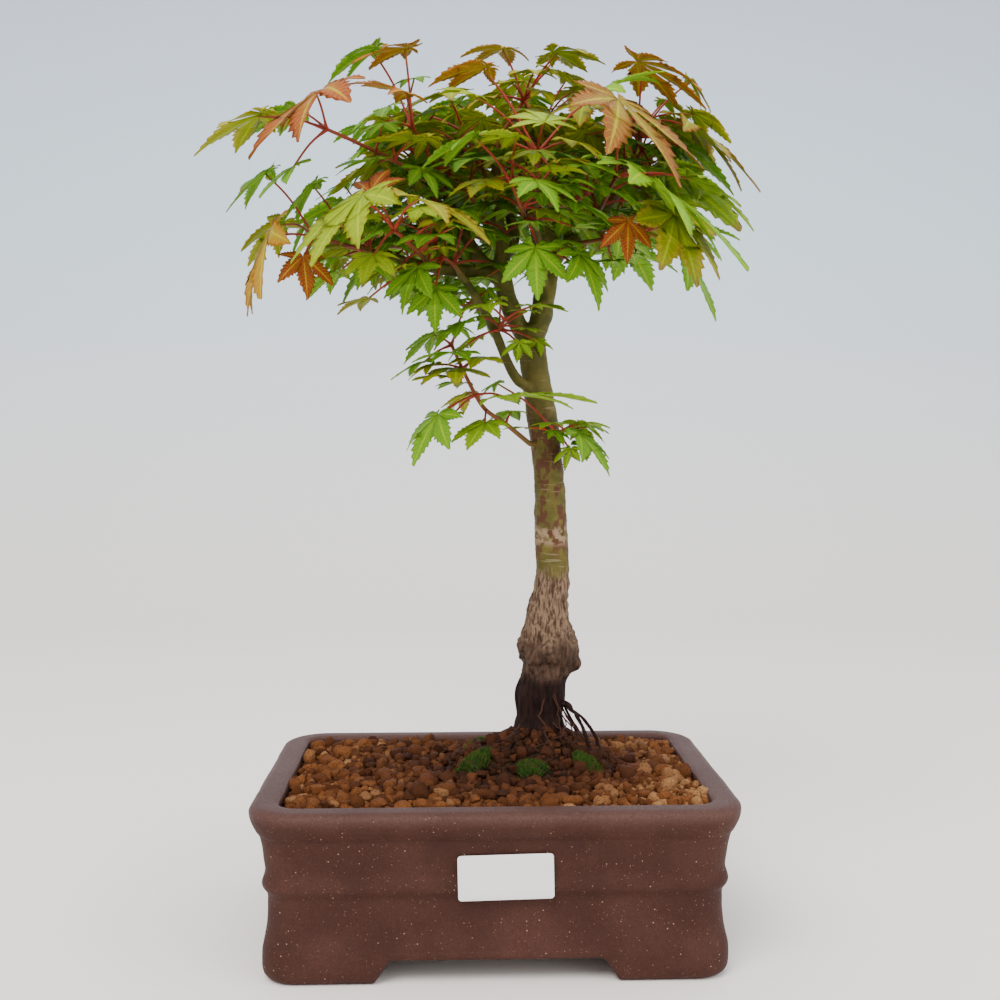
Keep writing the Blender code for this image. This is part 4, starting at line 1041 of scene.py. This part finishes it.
# Shoots that follow the growth rule: branch, place along it, bearing, rise, length, leaf
# pairs, leaf size, tone. Bearings run counter-clockwise from +X as seen from above.
GROWN_SHOOTS = (
    ("left_rear_arm", 1.0, 150, 10, 34, 2, 34, "green"),
    ("left_rear_arm", 0.7, 105, 25, 36, 2, 32, "dark_green"),
    ("left_arm", 0.85, 165, 18, 30, 2, 31, "green"),
    ("left_arm", 0.45, -120, 20, 22, 1, 28, "dark_green"),
    ("left_rising", 0.72, 130, 40, 34, 2, 31, "dark_green"),
    ("left_rising", 0.9, 165, 50, 36, 2, 30, "green"),
    ("left_leader", 0.62, -150, 45, 26, 2, 27, "dark_green"),
    ("left_leader", 0.85, 175, 55, 34, 2, 28, "yellow_green"),
    ("middle_stem", 1.0, 110, 55, 32, 2, 32, "green"),
    ("middle_stem", 0.7, 95, 20, 42, 2, 33, "dark_green"),
    ("right_leader", 1.0, 60, 62, 40, 2, 31, "yellow_green"),
    ("right_leader", 0.8, -120, 52, 24, 1, 27, "dark_green"),
    ("right_rear_arm", 1.0, 70, 30, 28, 2, 34, "green"),
    ("right_rear_arm", 0.7, 20, 30, 34, 2, 32, "dark_green"),
    ("right_rear_arm", 0.55, 110, 22, 34, 2, 31, "dark_green"),
    ("right_arm", 0.85, 20, 30, 30, 2, 32, "green"),
    ("right_arm", 0.72, -40, 46, 30, 2, 30, "dark_green"),
    ("right_arm", 0.6, 95, 44, 34, 2, 30, "yellow_green"),
    ("right_arm", 0.4, 5, -2, 34, 2, 31, "green"),
    ("front_arm", 0.9, 8, 14, 26, 2, 28, "green"),
    ("front_arm", 0.6, 175, 8, 26, 1, 27, "green"),
    ("left_rear_arm", 0.45, -160, -8, 24, 1, 26, "dark_green"),
    ("low_branch", 0.75, 170, 12, 16, 1, 21, "green"),
    ("low_branch", 0.5, -70, 8, 13, 1, 19, "light_green"),
)


class Occupied:
    """Everything already placed, as one tree of faces that a new piece must not touch."""

    def __init__(self):
        self.points = []
        self.faces = []
        self.owners = []
        self.tree = None

    def add(self, shape, owner):
        points, faces = shape
        start = len(self.points)
        self.points += [Vector(point) for point in points]
        self.faces += [tuple(start + i for i in face) for face in faces]
        self.owners += [owner] * len(faces)
        self.tree = None

    def meets(self, shape, but=None):
        """Whether a shape touches anything placed, apart from what the owner given by but holds."""
        if self.tree is None:
            self.tree = BVHTree.FromPolygons(self.points, self.faces)
        points, faces = shape
        touching = self.tree.overlap(BVHTree.FromPolygons([Vector(p) for p in points], faces))
        return any(self.owners[face] != but for face, _ in touching)


def bearing_vector(bearing, rise):
    """Unit vector from a bearing and a rise above the level, both in degrees."""
    turn, lift = math.radians(bearing), math.radians(rise)
    level = math.cos(lift)
    return np.array([level * math.cos(turn), level * math.sin(turn), math.sin(lift)])


def leaf_frame(leaf):
    """Origin, axis to the middle lobe's tip, sideways axis and upper side of a blade."""
    axis = bearing_vector(leaf.heading, -leaf.dip)
    side = unit(np.cross((0, 0, 1), axis))
    return np.array([leaf.x, leaf.y, leaf.z + SOIL_Z]), axis, side, np.cross(axis, side)


def blade(leaf, spare=0.0):
    """Closed plate with one point to each lobe, its tips drooping. Spare adds room all round."""
    if leaf.size > LARGE_LEAF:
        lobe_angles = (-118, -74, -37, 0, 37, 74, 118)
        lobe_sizes = (0.42, 0.72, 0.93, 1.0, 0.93, 0.72, 0.42)
    else:
        lobe_angles = (-92, -44, 0, 44, 92)
        lobe_sizes = (0.5, 0.85, 1.0, 0.85, 0.5)
    outline = [(180, 0.05)]
    for index, (angle, size) in enumerate(zip(lobe_angles, lobe_sizes)):
        outline.append((angle, size))
        if index + 1 < len(lobe_angles):
            between = (angle + lobe_angles[index + 1]) / 2
            outline.append((between, 0.36 * min(size, lobe_sizes[index + 1]) + 0.02))
    origin, axis, side, up = leaf_frame(leaf)
    upper = [origin + up * spare + axis * 0.1 * leaf.size]
    for angle, share in outline:
        reach = share * leaf.size + (spare if share > 0.4 else 0.0)
        turn = math.radians(angle)
        droop = LEAF_DROOP * reach * reach / leaf.size
        upper.append(origin + axis * reach * math.cos(turn) + side * reach * math.sin(turn)
                     + up * (spare - droop))
    upper = np.array(upper)
    count = len(outline)
    points = np.concatenate([upper, upper - up * (BLADE_THICKNESS + 2 * spare)])
    low = count + 1
    faces = []
    for i in range(count):
        a, b = 1 + i, 1 + (i + 1) % count
        faces += [(0, a, b), (low, low + b, low + a), (a, low + a, low + b, b)]
    return points, faces


def petiole_path(leaf, node):
    """Leaf stalk from a node on the stem, bowed upwards, into the base of the blade."""
    origin, axis, _, up = leaf_frame(leaf)
    end = origin + axis * 0.08 * leaf.size - up * BLADE_THICKNESS * 0.55
    span = np.linalg.norm(end - node)
    middle = (node + end) / 2 + (0, 0, 0.07 * span)
    start = node - (middle - node) / span * 1.2
    return smooth_path([start, middle, end], span / 1.9)


def petiole_tube(path):
    """Thin stalk that narrows to less than the blade's thickness where it enters it."""
    return tube(path, np.linspace(PETIOLE_RADIUS, 0.4 * BLADE_THICKNESS, len(path)), 3)


def stem_path(branch, place, waypoints):
    """Stem from a hair off the bark, out square to the branch, then along its waypoints."""
    wood = wood_path(branch)
    at = place * (len(wood) - 1)
    low = min(int(at), len(wood) - 2)
    row = wood[low] + (wood[low + 1] - wood[low]) * (at - low)
    along = unit(wood[low + 1, :3] - wood[low, :3])
    if place >= 1:
        start, out = row[:3] + along * GAP, along
    else:
        toward = waypoints[0] - row[:3]
        out = unit(toward - along * toward.dot(along))
        start = row[:3] + out * (row[3] + GAP)
    return smooth_path([start, start + out * 2.5, *waypoints], 13.0)


def stem_tube(path, spare=0.0):
    radii = np.linspace(STEM_RADIUS, STEM_TIP_RADIUS, len(path)) + spare
    return tube(path, radii, 4)


def place_stem(occupied, owner, branch, place, waypoints, rng):
    """The stem as asked, or the first small swing of it that touches nothing."""
    for attempt in range(24):
        swing = np.array([rng.uniform(-1, 1) for _ in range(3)]) * attempt * 0.7
        moved = [point + swing * (n + 1) / len(waypoints) for n, point in enumerate(waypoints)]
        slid = place if place >= 1 else min(0.97, max(0.1, place + 0.006 * swing[0]))
        path = stem_path(branch, slid, moved)
        if occupied.meets(stem_tube(path, 0.1)):
            continue
        if not occupied.meets(stem_tube(path[1:], LEAF_SPACE)):
            occupied.add(stem_tube(path), owner)
            return path
    return None


def place_leaf(occupied, owner, path, wanted, node, rng):
    """The leaf as asked, or the first small change of it that touches nothing."""
    for attempt in range(40):
        leaf = wanted._replace(
            x=wanted.x + rng.uniform(-0.5, 0.5) * attempt,
            y=wanted.y + rng.uniform(-0.5, 0.5) * attempt,
            z=wanted.z + rng.uniform(-0.4, 0.6) * attempt,
            heading=wanted.heading + rng.uniform(-1.2, 1.2) * attempt,
            dip=wanted.dip + rng.uniform(-0.8, 0.8) * attempt,
            size=wanted.size * (1 - 0.006 * attempt))
        origin = leaf_frame(leaf)[0]
        if node is None:
            outer = path[max(1, len(path) // 3):]
            node = outer[np.argmin(np.linalg.norm(outer - origin, axis=1))]
        stalk = petiole_path(leaf, node)
        span = np.linalg.norm(stalk[-1] - node)
        clear = stalk.copy()
        clear[0] += (stalk[1] - stalk[0]) * min(0.9, 9.0 / span)
        if occupied.meets(tube(stalk, PETIOLE_RADIUS + LEAF_SPACE, 4), owner):
            continue
        if occupied.meets(tube(clear, PETIOLE_RADIUS + LEAF_SPACE, 4)):
            continue
        if occupied.meets(blade(leaf, LEAF_SPACE)):
            continue
        occupied.add(blade(leaf), owner)
        occupied.add(petiole_tube(stalk), owner)
        return leaf, stalk
    return None


def grown_leaves(path, pairs, size, tone, rng):
    """Opposite pairs up a stem, each leaf turned outwards and drooping more at the edge."""
    asked = []
    for pair in range(pairs):
        row = len(path) - 1 - round(pair * 0.45 * (len(path) - 1))
        node = path[row]
        along = unit(path[row] - path[row - 1])
        level = unit(np.cross(along, (0, 0, 1)) + (0, 0, 0.35 * pair))
        for side in (1, -1):
            out = unit(along * 0.55 + level * side * 0.8 + (0, 0, 0.3))
            reach = size * rng.uniform(0.55, 0.85)
            base = node + out * reach
            away = base[:2] - (MOUND_X, MOUND_Y)
            facing = out[:2] * 0.7 + away / (20 + np.linalg.norm(away)) * 0.8
            heading = math.degrees(math.atan2(facing[1], facing[0])) + rng.uniform(-14, 14)
            dip = 6 + 0.3 * np.linalg.norm(away) + rng.uniform(-10, 10)
            asked.append((Leaf(base[0], base[1], base[2] - SOIL_Z, heading, dip,
                               size * rng.uniform(0.85, 1.15), tone), node))
    return asked


def grow_shoots(occupied):
    """Every shoot as its stem and its leaves: stems first, then the listed leaves, then grown."""
    shoots = []
    for number, (branch, place, waypoints, leaves) in enumerate(SET_SHOOTS):
        rng = random.Random(100 + number)
        owner = f"set {number}"
        waypoints = [np.array(point) + (0, 0, SOIL_Z) for point in waypoints]
        path = place_stem(occupied, owner, branch, place, waypoints, rng)
        if path is not None:
            shoots.append((owner, path, rng, [(leaf, None) for leaf in leaves]))
    for number, (branch, place, bearing, rise, length, pairs, size, tone) in enumerate(GROWN_SHOOTS):
        rng = random.Random(500 + number)
        owner = f"grown {number}"
        wood = wood_path(branch)
        root = wood[round(place * (len(wood) - 1)), :3]
        way = bearing_vector(bearing, rise)
        waypoints = [root + way * length * 0.55, root + way * length + (0, 0, 0.12 * length)]
        path = place_stem(occupied, owner, branch, place, waypoints, rng)
        if path is not None:
            shoots.append((owner, path, rng, grown_leaves(path, pairs, size, tone, rng)))
    grown = []
    for owner, path, rng, asked in shoots:
        placed = [place_leaf(occupied, owner, path, leaf, node, rng) for leaf, node in asked]
        grown.append((owner, path, [found for found in placed if found]))
    grown = [shoot for shoot in grown if shoot[2]]
    for number, (owner, path, leaves) in enumerate(grown):
        leaves += fill_shoot(occupied, owner, path, leaves, random.Random(700 + number))
    return [(path, leaves) for _, path, leaves in grown]


# New leaves are the bright ones. The leaves that fill in between them are older and greener.
OLDER_TONES = {"orange": "yellow_green", "coral": "green", "red": "green",
               "amber": "yellow_green", "rose": "light_green"}


def fill_shoot(occupied, owner, path, leaves, rng):
    """Smaller leaves in the free space between a shoot's main ones."""
    mean_size = sum(leaf.size for leaf, _ in leaves) / len(leaves)
    ceiling = max(leaf.z for leaf, _ in leaves) + 2
    found = []
    for _ in range(FILL_TRIES):
        near = rng.choice(leaves)[0]
        start = path[rng.randrange(len(path) // 3, len(path))]
        turn = rng.uniform(0, 2 * math.pi)
        reach = mean_size * rng.uniform(0.35, 0.8)
        base = start + np.array([math.cos(turn) * reach, math.sin(turn) * reach, rng.uniform(-4, 14)])
        away = base[:2] - (MOUND_X, MOUND_Y)
        if np.linalg.norm(away) > CROWN_REACH or base[2] - SOIL_Z > ceiling:
            continue
        facing = away / (1 + np.linalg.norm(away)) + np.array([math.cos(turn), math.sin(turn)])
        wanted = Leaf(*base[:2], base[2] - SOIL_Z, math.degrees(math.atan2(facing[1], facing[0])),
                      10 + rng.uniform(-12, 22), mean_size * rng.uniform(0.5, 0.85),
                      OLDER_TONES.get(near.tone, near.tone))
        found.append(place_leaf(occupied, owner, path, wanted, None, rng))
    return [leaf for leaf in found if leaf]


# Colours of a leaf's heart, its blade and its margin.
LEAF_TONES = {
    "green": ((0.19, 0.33, 0.010), (0.105, 0.250, 0.008), (0.100, 0.215, 0.008)),
    "dark_green": ((0.125, 0.24, 0.010), (0.066, 0.170, 0.008), (0.066, 0.150, 0.008)),
    "bright_green": ((0.23, 0.37, 0.008), (0.145, 0.310, 0.006), (0.17, 0.29, 0.008)),
    "light_green": ((0.22, 0.33, 0.008), (0.150, 0.275, 0.006), (0.21, 0.26, 0.008)),
    "lime": ((0.27, 0.34, 0.006), (0.205, 0.300, 0.005), (0.28, 0.26, 0.008)),
    "yellow_green": ((0.27, 0.31, 0.006), (0.200, 0.255, 0.005), (0.30, 0.18, 0.010)),
    "olive": ((0.23, 0.26, 0.008), (0.165, 0.190, 0.006), (0.25, 0.115, 0.010)),
    "amber": ((0.34, 0.28, 0.008), (0.300, 0.165, 0.006), (0.36, 0.090, 0.010)),
    "orange": ((0.35, 0.26, 0.010), (0.330, 0.105, 0.010), (0.31, 0.048, 0.012)),
    "coral": ((0.35, 0.24, 0.012), (0.290, 0.056, 0.016), (0.25, 0.030, 0.014)),
    "rose": ((0.28, 0.25, 0.014), (0.220, 0.085, 0.018), (0.27, 0.042, 0.018)),
    "rosy_green": ((0.22, 0.27, 0.012), (0.150, 0.190, 0.010), (0.28, 0.065, 0.014)),
    "red": ((0.32, 0.07, 0.012), (0.250, 0.030, 0.010), (0.18, 0.019, 0.009)),
}
TEETH = 6


def lobe_edges(angles, sizes, size, rng):
    """Margin of every lobe: out along the notch's bearing, then a bellied curve with teeth."""
    first = np.array([0.03, 0.5, 1.0])
    tooth = np.arange(TEETH)[:, None] / TEETH + np.array([0.10, 0.78]) / TEETH
    beyond = np.append(tooth.ravel(), 0.995)
    bite = np.append(np.tile([0.0, 1.0], TEETH), 0.0)
    rows = []
    for index, (angle, length) in enumerate(zip(angles, sizes)):
        turn = math.radians(angle)
        axis = np.array([math.cos(turn), math.sin(turn)])
        across = np.array([-axis[1], axis[0]])
        belly = 0.205 * length * rng.uniform(0.88, 1.12)
        sides = []
        for sign in (-1, 1):
            beside = index + sign
            if 0 <= beside < len(angles):
                notch_turn = math.radians((angle + angles[beside]) / 2)
                depth = 0.45 * min(length, sizes[beside]) + 0.03
            else:
                notch_turn = math.radians(angle + sign * 30)
                depth = 0.16 * length
            notch = depth * np.array([math.cos(notch_turn), math.sin(notch_turn)])
            p1 = axis * 0.50 * length + across * sign * belly
            p2 = axis * 0.76 * length + across * sign * belly * 0.66
            p3 = axis * length
            t = beyond[:, None]
            curve = ((1 - t) ** 3 * notch + 3 * (1 - t) ** 2 * t * p1
                     + 3 * (1 - t) * t * t * p2 + t ** 3 * p3)
            jag = 0.052 * length * bite * np.interp(beyond, (0, 0.15, 0.6, 1), (0.5, 1, 0.9, 0.25))
            curve = curve + across * sign * jag[:, None] + axis * (jag * 0.5)[:, None]
            sides.append(np.vstack([first[:, None] * notch, curve]))
        projected = np.stack([side @ axis for side in sides]).mean(axis=0)
        middle = axis * np.maximum(projected, 0)[:, None]
        middle[-1] = axis * length
        rows.append((sides[0], middle, sides[1]))
    return np.array(rows) * size, np.concatenate([first * 0.3, 0.3 + 0.7 * beyond])


def blade_surface(leaf, rng):
    """Every lobe as a closed lens: its margins and midrib carried from base to tip, bent by
    the leaf's droop, a fold along each midrib, and a slow ripple along each margin."""
    if leaf.size > LARGE_LEAF:
        angles = (-118, -74, -37, 0, 37, 74, 118)
        sizes = (0.42, 0.72, 0.93, 1.0, 0.93, 0.72, 0.42)
    else:
        angles = (-130, -92, -44, 0, 44, 92, 130)
        sizes = (0.26, 0.52, 0.86, 1.0, 0.86, 0.52, 0.26)
    angles = [a + rng.uniform(-4, 4) for a in angles]
    sizes = [s * rng.uniform(0.92, 1.06) for s in sizes]
    edges, along = lobe_edges(angles, sizes, leaf.size, rng)
    left, middle, right = edges[:, 0], edges[:, 1], edges[:, 2]
    shares = np.array([-1, -0.5, 0, 0.5, 1, 0.5, 0, -0.5])
    under = np.array([0, 0, 0, 0, 0, 1, 1, 1])
    margin = np.where(shares[:, None, None, None] < 0, left[None], right[None])
    flat = middle[None] + np.abs(shares)[:, None, None, None] * (margin - middle[None])
    flat = np.moveaxis(flat, 0, 2)
    reach = np.linalg.norm(flat, axis=-1)
    width = np.linalg.norm(margin - middle[None], axis=-1)
    width = np.moveaxis(width, 0, 2)
    beside = np.abs(shares)
    lobes = len(angles)
    curl = np.array([rng.uniform(-0.02, 0.10) for _ in range(lobes)])[:, None, None]
    twist = np.array([rng.uniform(-0.35, 0.35) for _ in range(lobes)])[:, None, None]
    phase = np.array([rng.uniform(0, 6.3) for _ in range(lobes)])[:, None, None]
    t = along[None, :, None]
    fold = rng.uniform(0.10, 0.26)
    lift = -LEAF_DROOP * reach ** 2 / leaf.size - curl * leaf.size * t ** 3
    lift = lift + fold * beside * width + twist * shares * width * t
    lift = lift + 0.012 * leaf.size * np.sin(t * 9 + phase + shares * 1.5) * beside * t
    lift = lift - under * 0.24
    origin, axis, side, up = leaf_frame(leaf)
    points = origin + flat[..., :1] * axis + flat[..., 1:] * side + lift[..., None] * up
    rows, columns = len(along), len(shares)
    lobe_faces = capped(rows, columns)
    faces = [[index * rows * columns + i for i in face] for index in range(lobes) for face in lobe_faces]
    across = np.broadcast_to(shares * 0.5 + 0.5, (lobes, rows, columns))
    lengths = np.broadcast_to(t, (lobes, rows, columns))
    heart, body, edge = (np.array(colour) for colour in LEAF_TONES[leaf.tone])
    drift = rng.uniform(-0.12, 0.12)
    rim = np.clip(0.35 * t + 0.85 * beside * np.minimum(t + 0.45, 1) + drift - 0.25 + 0 * reach, 0, 1)
    core = np.clip(1 - 1.3 * t - 0.9 * beside + 0 * reach, 0, 1) * 0.75
    colour = body * (1 - rim[..., None]) + edge * rim[..., None]
    colour = colour * (1 - core[..., None]) + heart * core[..., None]
    colour = colour * rng.uniform(0.94, 1.22) * (1.0, 1.10, 1.15)
    if rng.random() < 0.22:
        scorch = np.clip((t - 0.86) * 9 + 0 * reach, 0, 1)[..., None]
        colour = colour * (1 - scorch) + np.array([0.20, 0.10, 0.045]) * scorch
    layers = np.stack([across, lengths], -1).reshape(-1, 2)
    return points.reshape(-1, 3), faces, layers, colour.reshape(-1, 3)


def leaf_finish():
    """Thin waxy blade: tone from the leaf, pale midribs and side veins, light shining through."""
    finish = Finish("maple_leaf", Roughness=0.5, Specular_IOR_Level=0.07, Subsurface_Weight=0.2,
                    Subsurface_Scale=0.0012, Subsurface_Radius=(0.8, 1.0, 0.25))
    tone = finish.attribute("tone", "Color")
    place = finish.attribute("vein", "Vector")
    across = finish.node("ShaderNodeSeparateXYZ", {}, {0: place}, "X")
    across = (across - 0.5).absolute() * 2
    along = finish.node("ShaderNodeSeparateXYZ", {}, {0: place}, "Y")
    rib = 1 - across.step(0.04, 0.15)
    ladder = ((along * 11 - across * 1.7).fraction() - 0.5).absolute()
    vein = (1 - ladder.step(0.03, 0.12)) * (1 - across.step(0.75, 1.0)) * 0.55
    lines = (rib + vein).clamped()
    mottle = finish.noise(3.5, 4, 0.6)
    body = finish.mix((mottle - 0.5) * 0.8 + 0.2, tone, finish.mix(0.75, tone, (0.03, 0.07, 0.01)))
    pale = finish.mix(0.55, tone, (0.52, 0.50, 0.015))
    body = finish.mix(lines * 0.7, body, pale)
    finish.vary(Base_Color=body, Roughness=0.42 + mottle * 0.2)
    finish.bump((1 - lines) * 0.6 + finish.noise(0.9, 2) * 0.25, 0.22, 0.8)
    return finish


def stalk_finish():
    """Red leaf stalks on a stem that greens with age."""
    finish = Finish("red_stalk", Roughness=0.5, Specular_IOR_Level=0.2, Subsurface_Weight=0.1,
                    Subsurface_Scale=0.0005)
    tone = finish.attribute("tone", "Color")
    ruddy = finish.noise(2.5, 3).step(0.35, 0.7) * 0.5
    finish.vary(Base_Color=finish.mix(ruddy, tone, (0.20, 0.05, 0.025)))
    finish.bump(finish.noise(0.7, 2), 0.1, 0.5)
    return finish


def stalk_shapes(path, leaves, rng):
    """The stem with its nodes, and each stalk swollen where it clasps the stem."""
    shapes, tones = [], []
    fine = smooth_path(path, 2.5)
    along = np.linspace(0, 1, len(fine))
    inward = unit(fine[0] - fine[min(2, len(fine) - 1)])
    fine = np.vstack([fine[0] + inward * 1.2, fine])
    thick = np.interp(along, (0, 0.06, 1), (1.15, 0.95, 0.62)) * STEM_RADIUS
    shapes.append(tube(fine, np.append(1.15 * STEM_RADIUS, thick), 10))
    green, red = np.array([0.12, 0.09, 0.022]), np.array([0.24, 0.032, 0.014])
    share = np.repeat(np.append(0, along), 10)[:, None]
    tones.append(green * (1 - share) + red * share)
    for leaf, stalk in leaves:
        fine = smooth_path(stalk, 3.0)
        along = np.linspace(0, 1, len(fine))
        thick = np.interp(along, (0, 0.1, 0.25, 0.9, 1), (1.0, 0.85, 0.52, 0.48, 0.4))
        shapes.append(tube(fine, thick, 8))
        shade = rng.uniform(0.75, 1.2)
        tip = np.array(LEAF_TONES[leaf.tone][0])
        share = np.repeat(np.clip((along - 0.75) * 2.4, 0, 0.6), 8)[:, None]
        tones.append((np.array([0.29, 0.032, 0.017]) * (1 - share) + tip * share) * shade)
    points, faces = gathered(shapes)
    return points, faces, np.concatenate(tones)


leaf_look = leaf_finish()
stalk_look = stalk_finish()
occupied = Occupied()
for shape in wood_shapes():
    occupied.add(shape, "trunk")
for number, (path, leaves) in enumerate(grow_shoots(occupied), 1):
    rng = random.Random(900 + number)
    stalk_points, stalk_faces, stalk_tones = stalk_shapes(path, leaves, rng)
    blades = [blade_surface(leaf, rng) for leaf, _ in leaves]
    points, faces = gathered([blade[:2] for blade in blades])
    blade_count = len(faces)
    start = len(points)
    points = np.concatenate([points, stalk_points])
    faces = faces + [[start + i for i in face] for face in stalk_faces]
    name = f"leafy_shoot_{number:02d}"
    shoot = new_piece("maple_" + name, points, faces, [leaf_look, stalk_look], [name])
    indices = np.zeros(len(faces), np.int32)
    indices[blade_count:] = 1
    shoot.data.polygons.foreach_set("material_index", indices)
    tones = np.concatenate([blade[3] for blade in blades] + [stalk_tones])
    store(shoot, "tone", np.column_stack([tones, np.ones(len(tones))]), "FLOAT_COLOR", "color")
    veins = np.concatenate([blade[2] for blade in blades] + [np.full((len(stalk_points), 2), 0.5)])
    store(shoot, "vein", np.column_stack([veins, np.zeros(len(veins))]), "FLOAT_VECTOR", "vector")

# ---------------------------------------------------------------- studio
# A pale table top that sweeps up behind into a backdrop painted darker and bluer as it rises, as painted
# fall-off of light, large soft lights, and a level camera a little above the pot's rim.


def sweep_surface():
    """A strip carried along a floor, a quarter turn and a wall, wide enough to fill the view."""
    turn = np.linspace(0, math.pi / 2, 24)
    y = np.concatenate([[-3000, -1000, 0, 900], 1000 + 700 * np.sin(turn), [1700, 1700]])
    z = np.concatenate([[0, 0, 0, 0], 700 - 700 * np.cos(turn), [1600, 4000]])
    x = np.linspace(-4000, 4000, 9)
    points = np.stack([np.broadcast_to(x, (len(y), 9)), np.repeat(y[:, None], 9, 1),
                       np.repeat(z[:, None], 9, 1)], -1)
    i = np.arange(len(y) - 1)[:, None] * 9 + np.arange(8)
    faces = np.stack([i, i + 1, i + 10, i + 9], -1).reshape(-1, 4).tolist()
    return points.reshape(-1, 3), faces


paper = Finish("backdrop_paper", Roughness=0.9)
paper_height = paper.height()
# Painted fall-off of light: warm near-white on the table, turning to a darker blue-grey up the backdrop.
paper_falloff_tone = paper.mix(paper_height.step(-200, 700), (0.98, 0.90, 0.82), (0.66, 0.80, 0.90))
paper.vary(Base_Color=paper.mix(paper_height.step(500, 1500), paper_falloff_tone, (0.52, 0.57, 0.72)))
backdrop = mesh_object("backdrop", *sweep_surface(), [paper])
backdrop.data.shade_smooth()


def soft_light(name, place, size, power, colour):
    """A square area light that faces the middle of the tree."""
    data = bpy.data.lights.new(name, "AREA")
    data.shape = "SQUARE"
    data.size = size
    data.energy = power
    data.color = colour
    lamp = linked(name, data)
    lamp.location = pot_middle + np.array(place)
    aim = Vector(pot_middle + np.array([0, 0, 0.2])) - lamp.location
    lamp.rotation_euler = aim.to_track_quat("-Z", "Y").to_euler()


soft_light("key_light", (-0.5, -0.9, 1.3), 0.8, 22, (1.0, 0.98, 0.95))
soft_light("fill_light", (1.1, -0.8, 0.7), 1.0, 9, (0.95, 0.98, 1.0))
soft_light("top_light", (0.1, 0.3, 1.6), 1.0, 10, (1.0, 1.0, 1.0))
world = bpy.data.worlds.new("studio")
bpy.context.scene.world = world
world.use_nodes = True
world.node_tree.nodes["Background"].inputs["Color"].default_value = (0.93, 0.92, 0.93, 1.0)
world.node_tree.nodes["Background"].inputs["Strength"].default_value = 1.32

CAMERA_HEIGHT = 0.225
CAMERA_BACK = 0.574
CAMERA_LEFT = 0.0166
lens = bpy.data.cameras.new("camera")
lens.lens = 44.4
lens.clip_start = 0.01
camera = linked("camera", lens)
camera.location = pot_middle + np.array([-CAMERA_LEFT, -CAMERA_BACK, CAMERA_HEIGHT])
turn_right = math.radians(2.0)
pitch = math.radians(-2.54)
camera.rotation_euler = (math.pi / 2 + pitch, 0.0, -turn_right)
bpy.context.scene.camera = camera
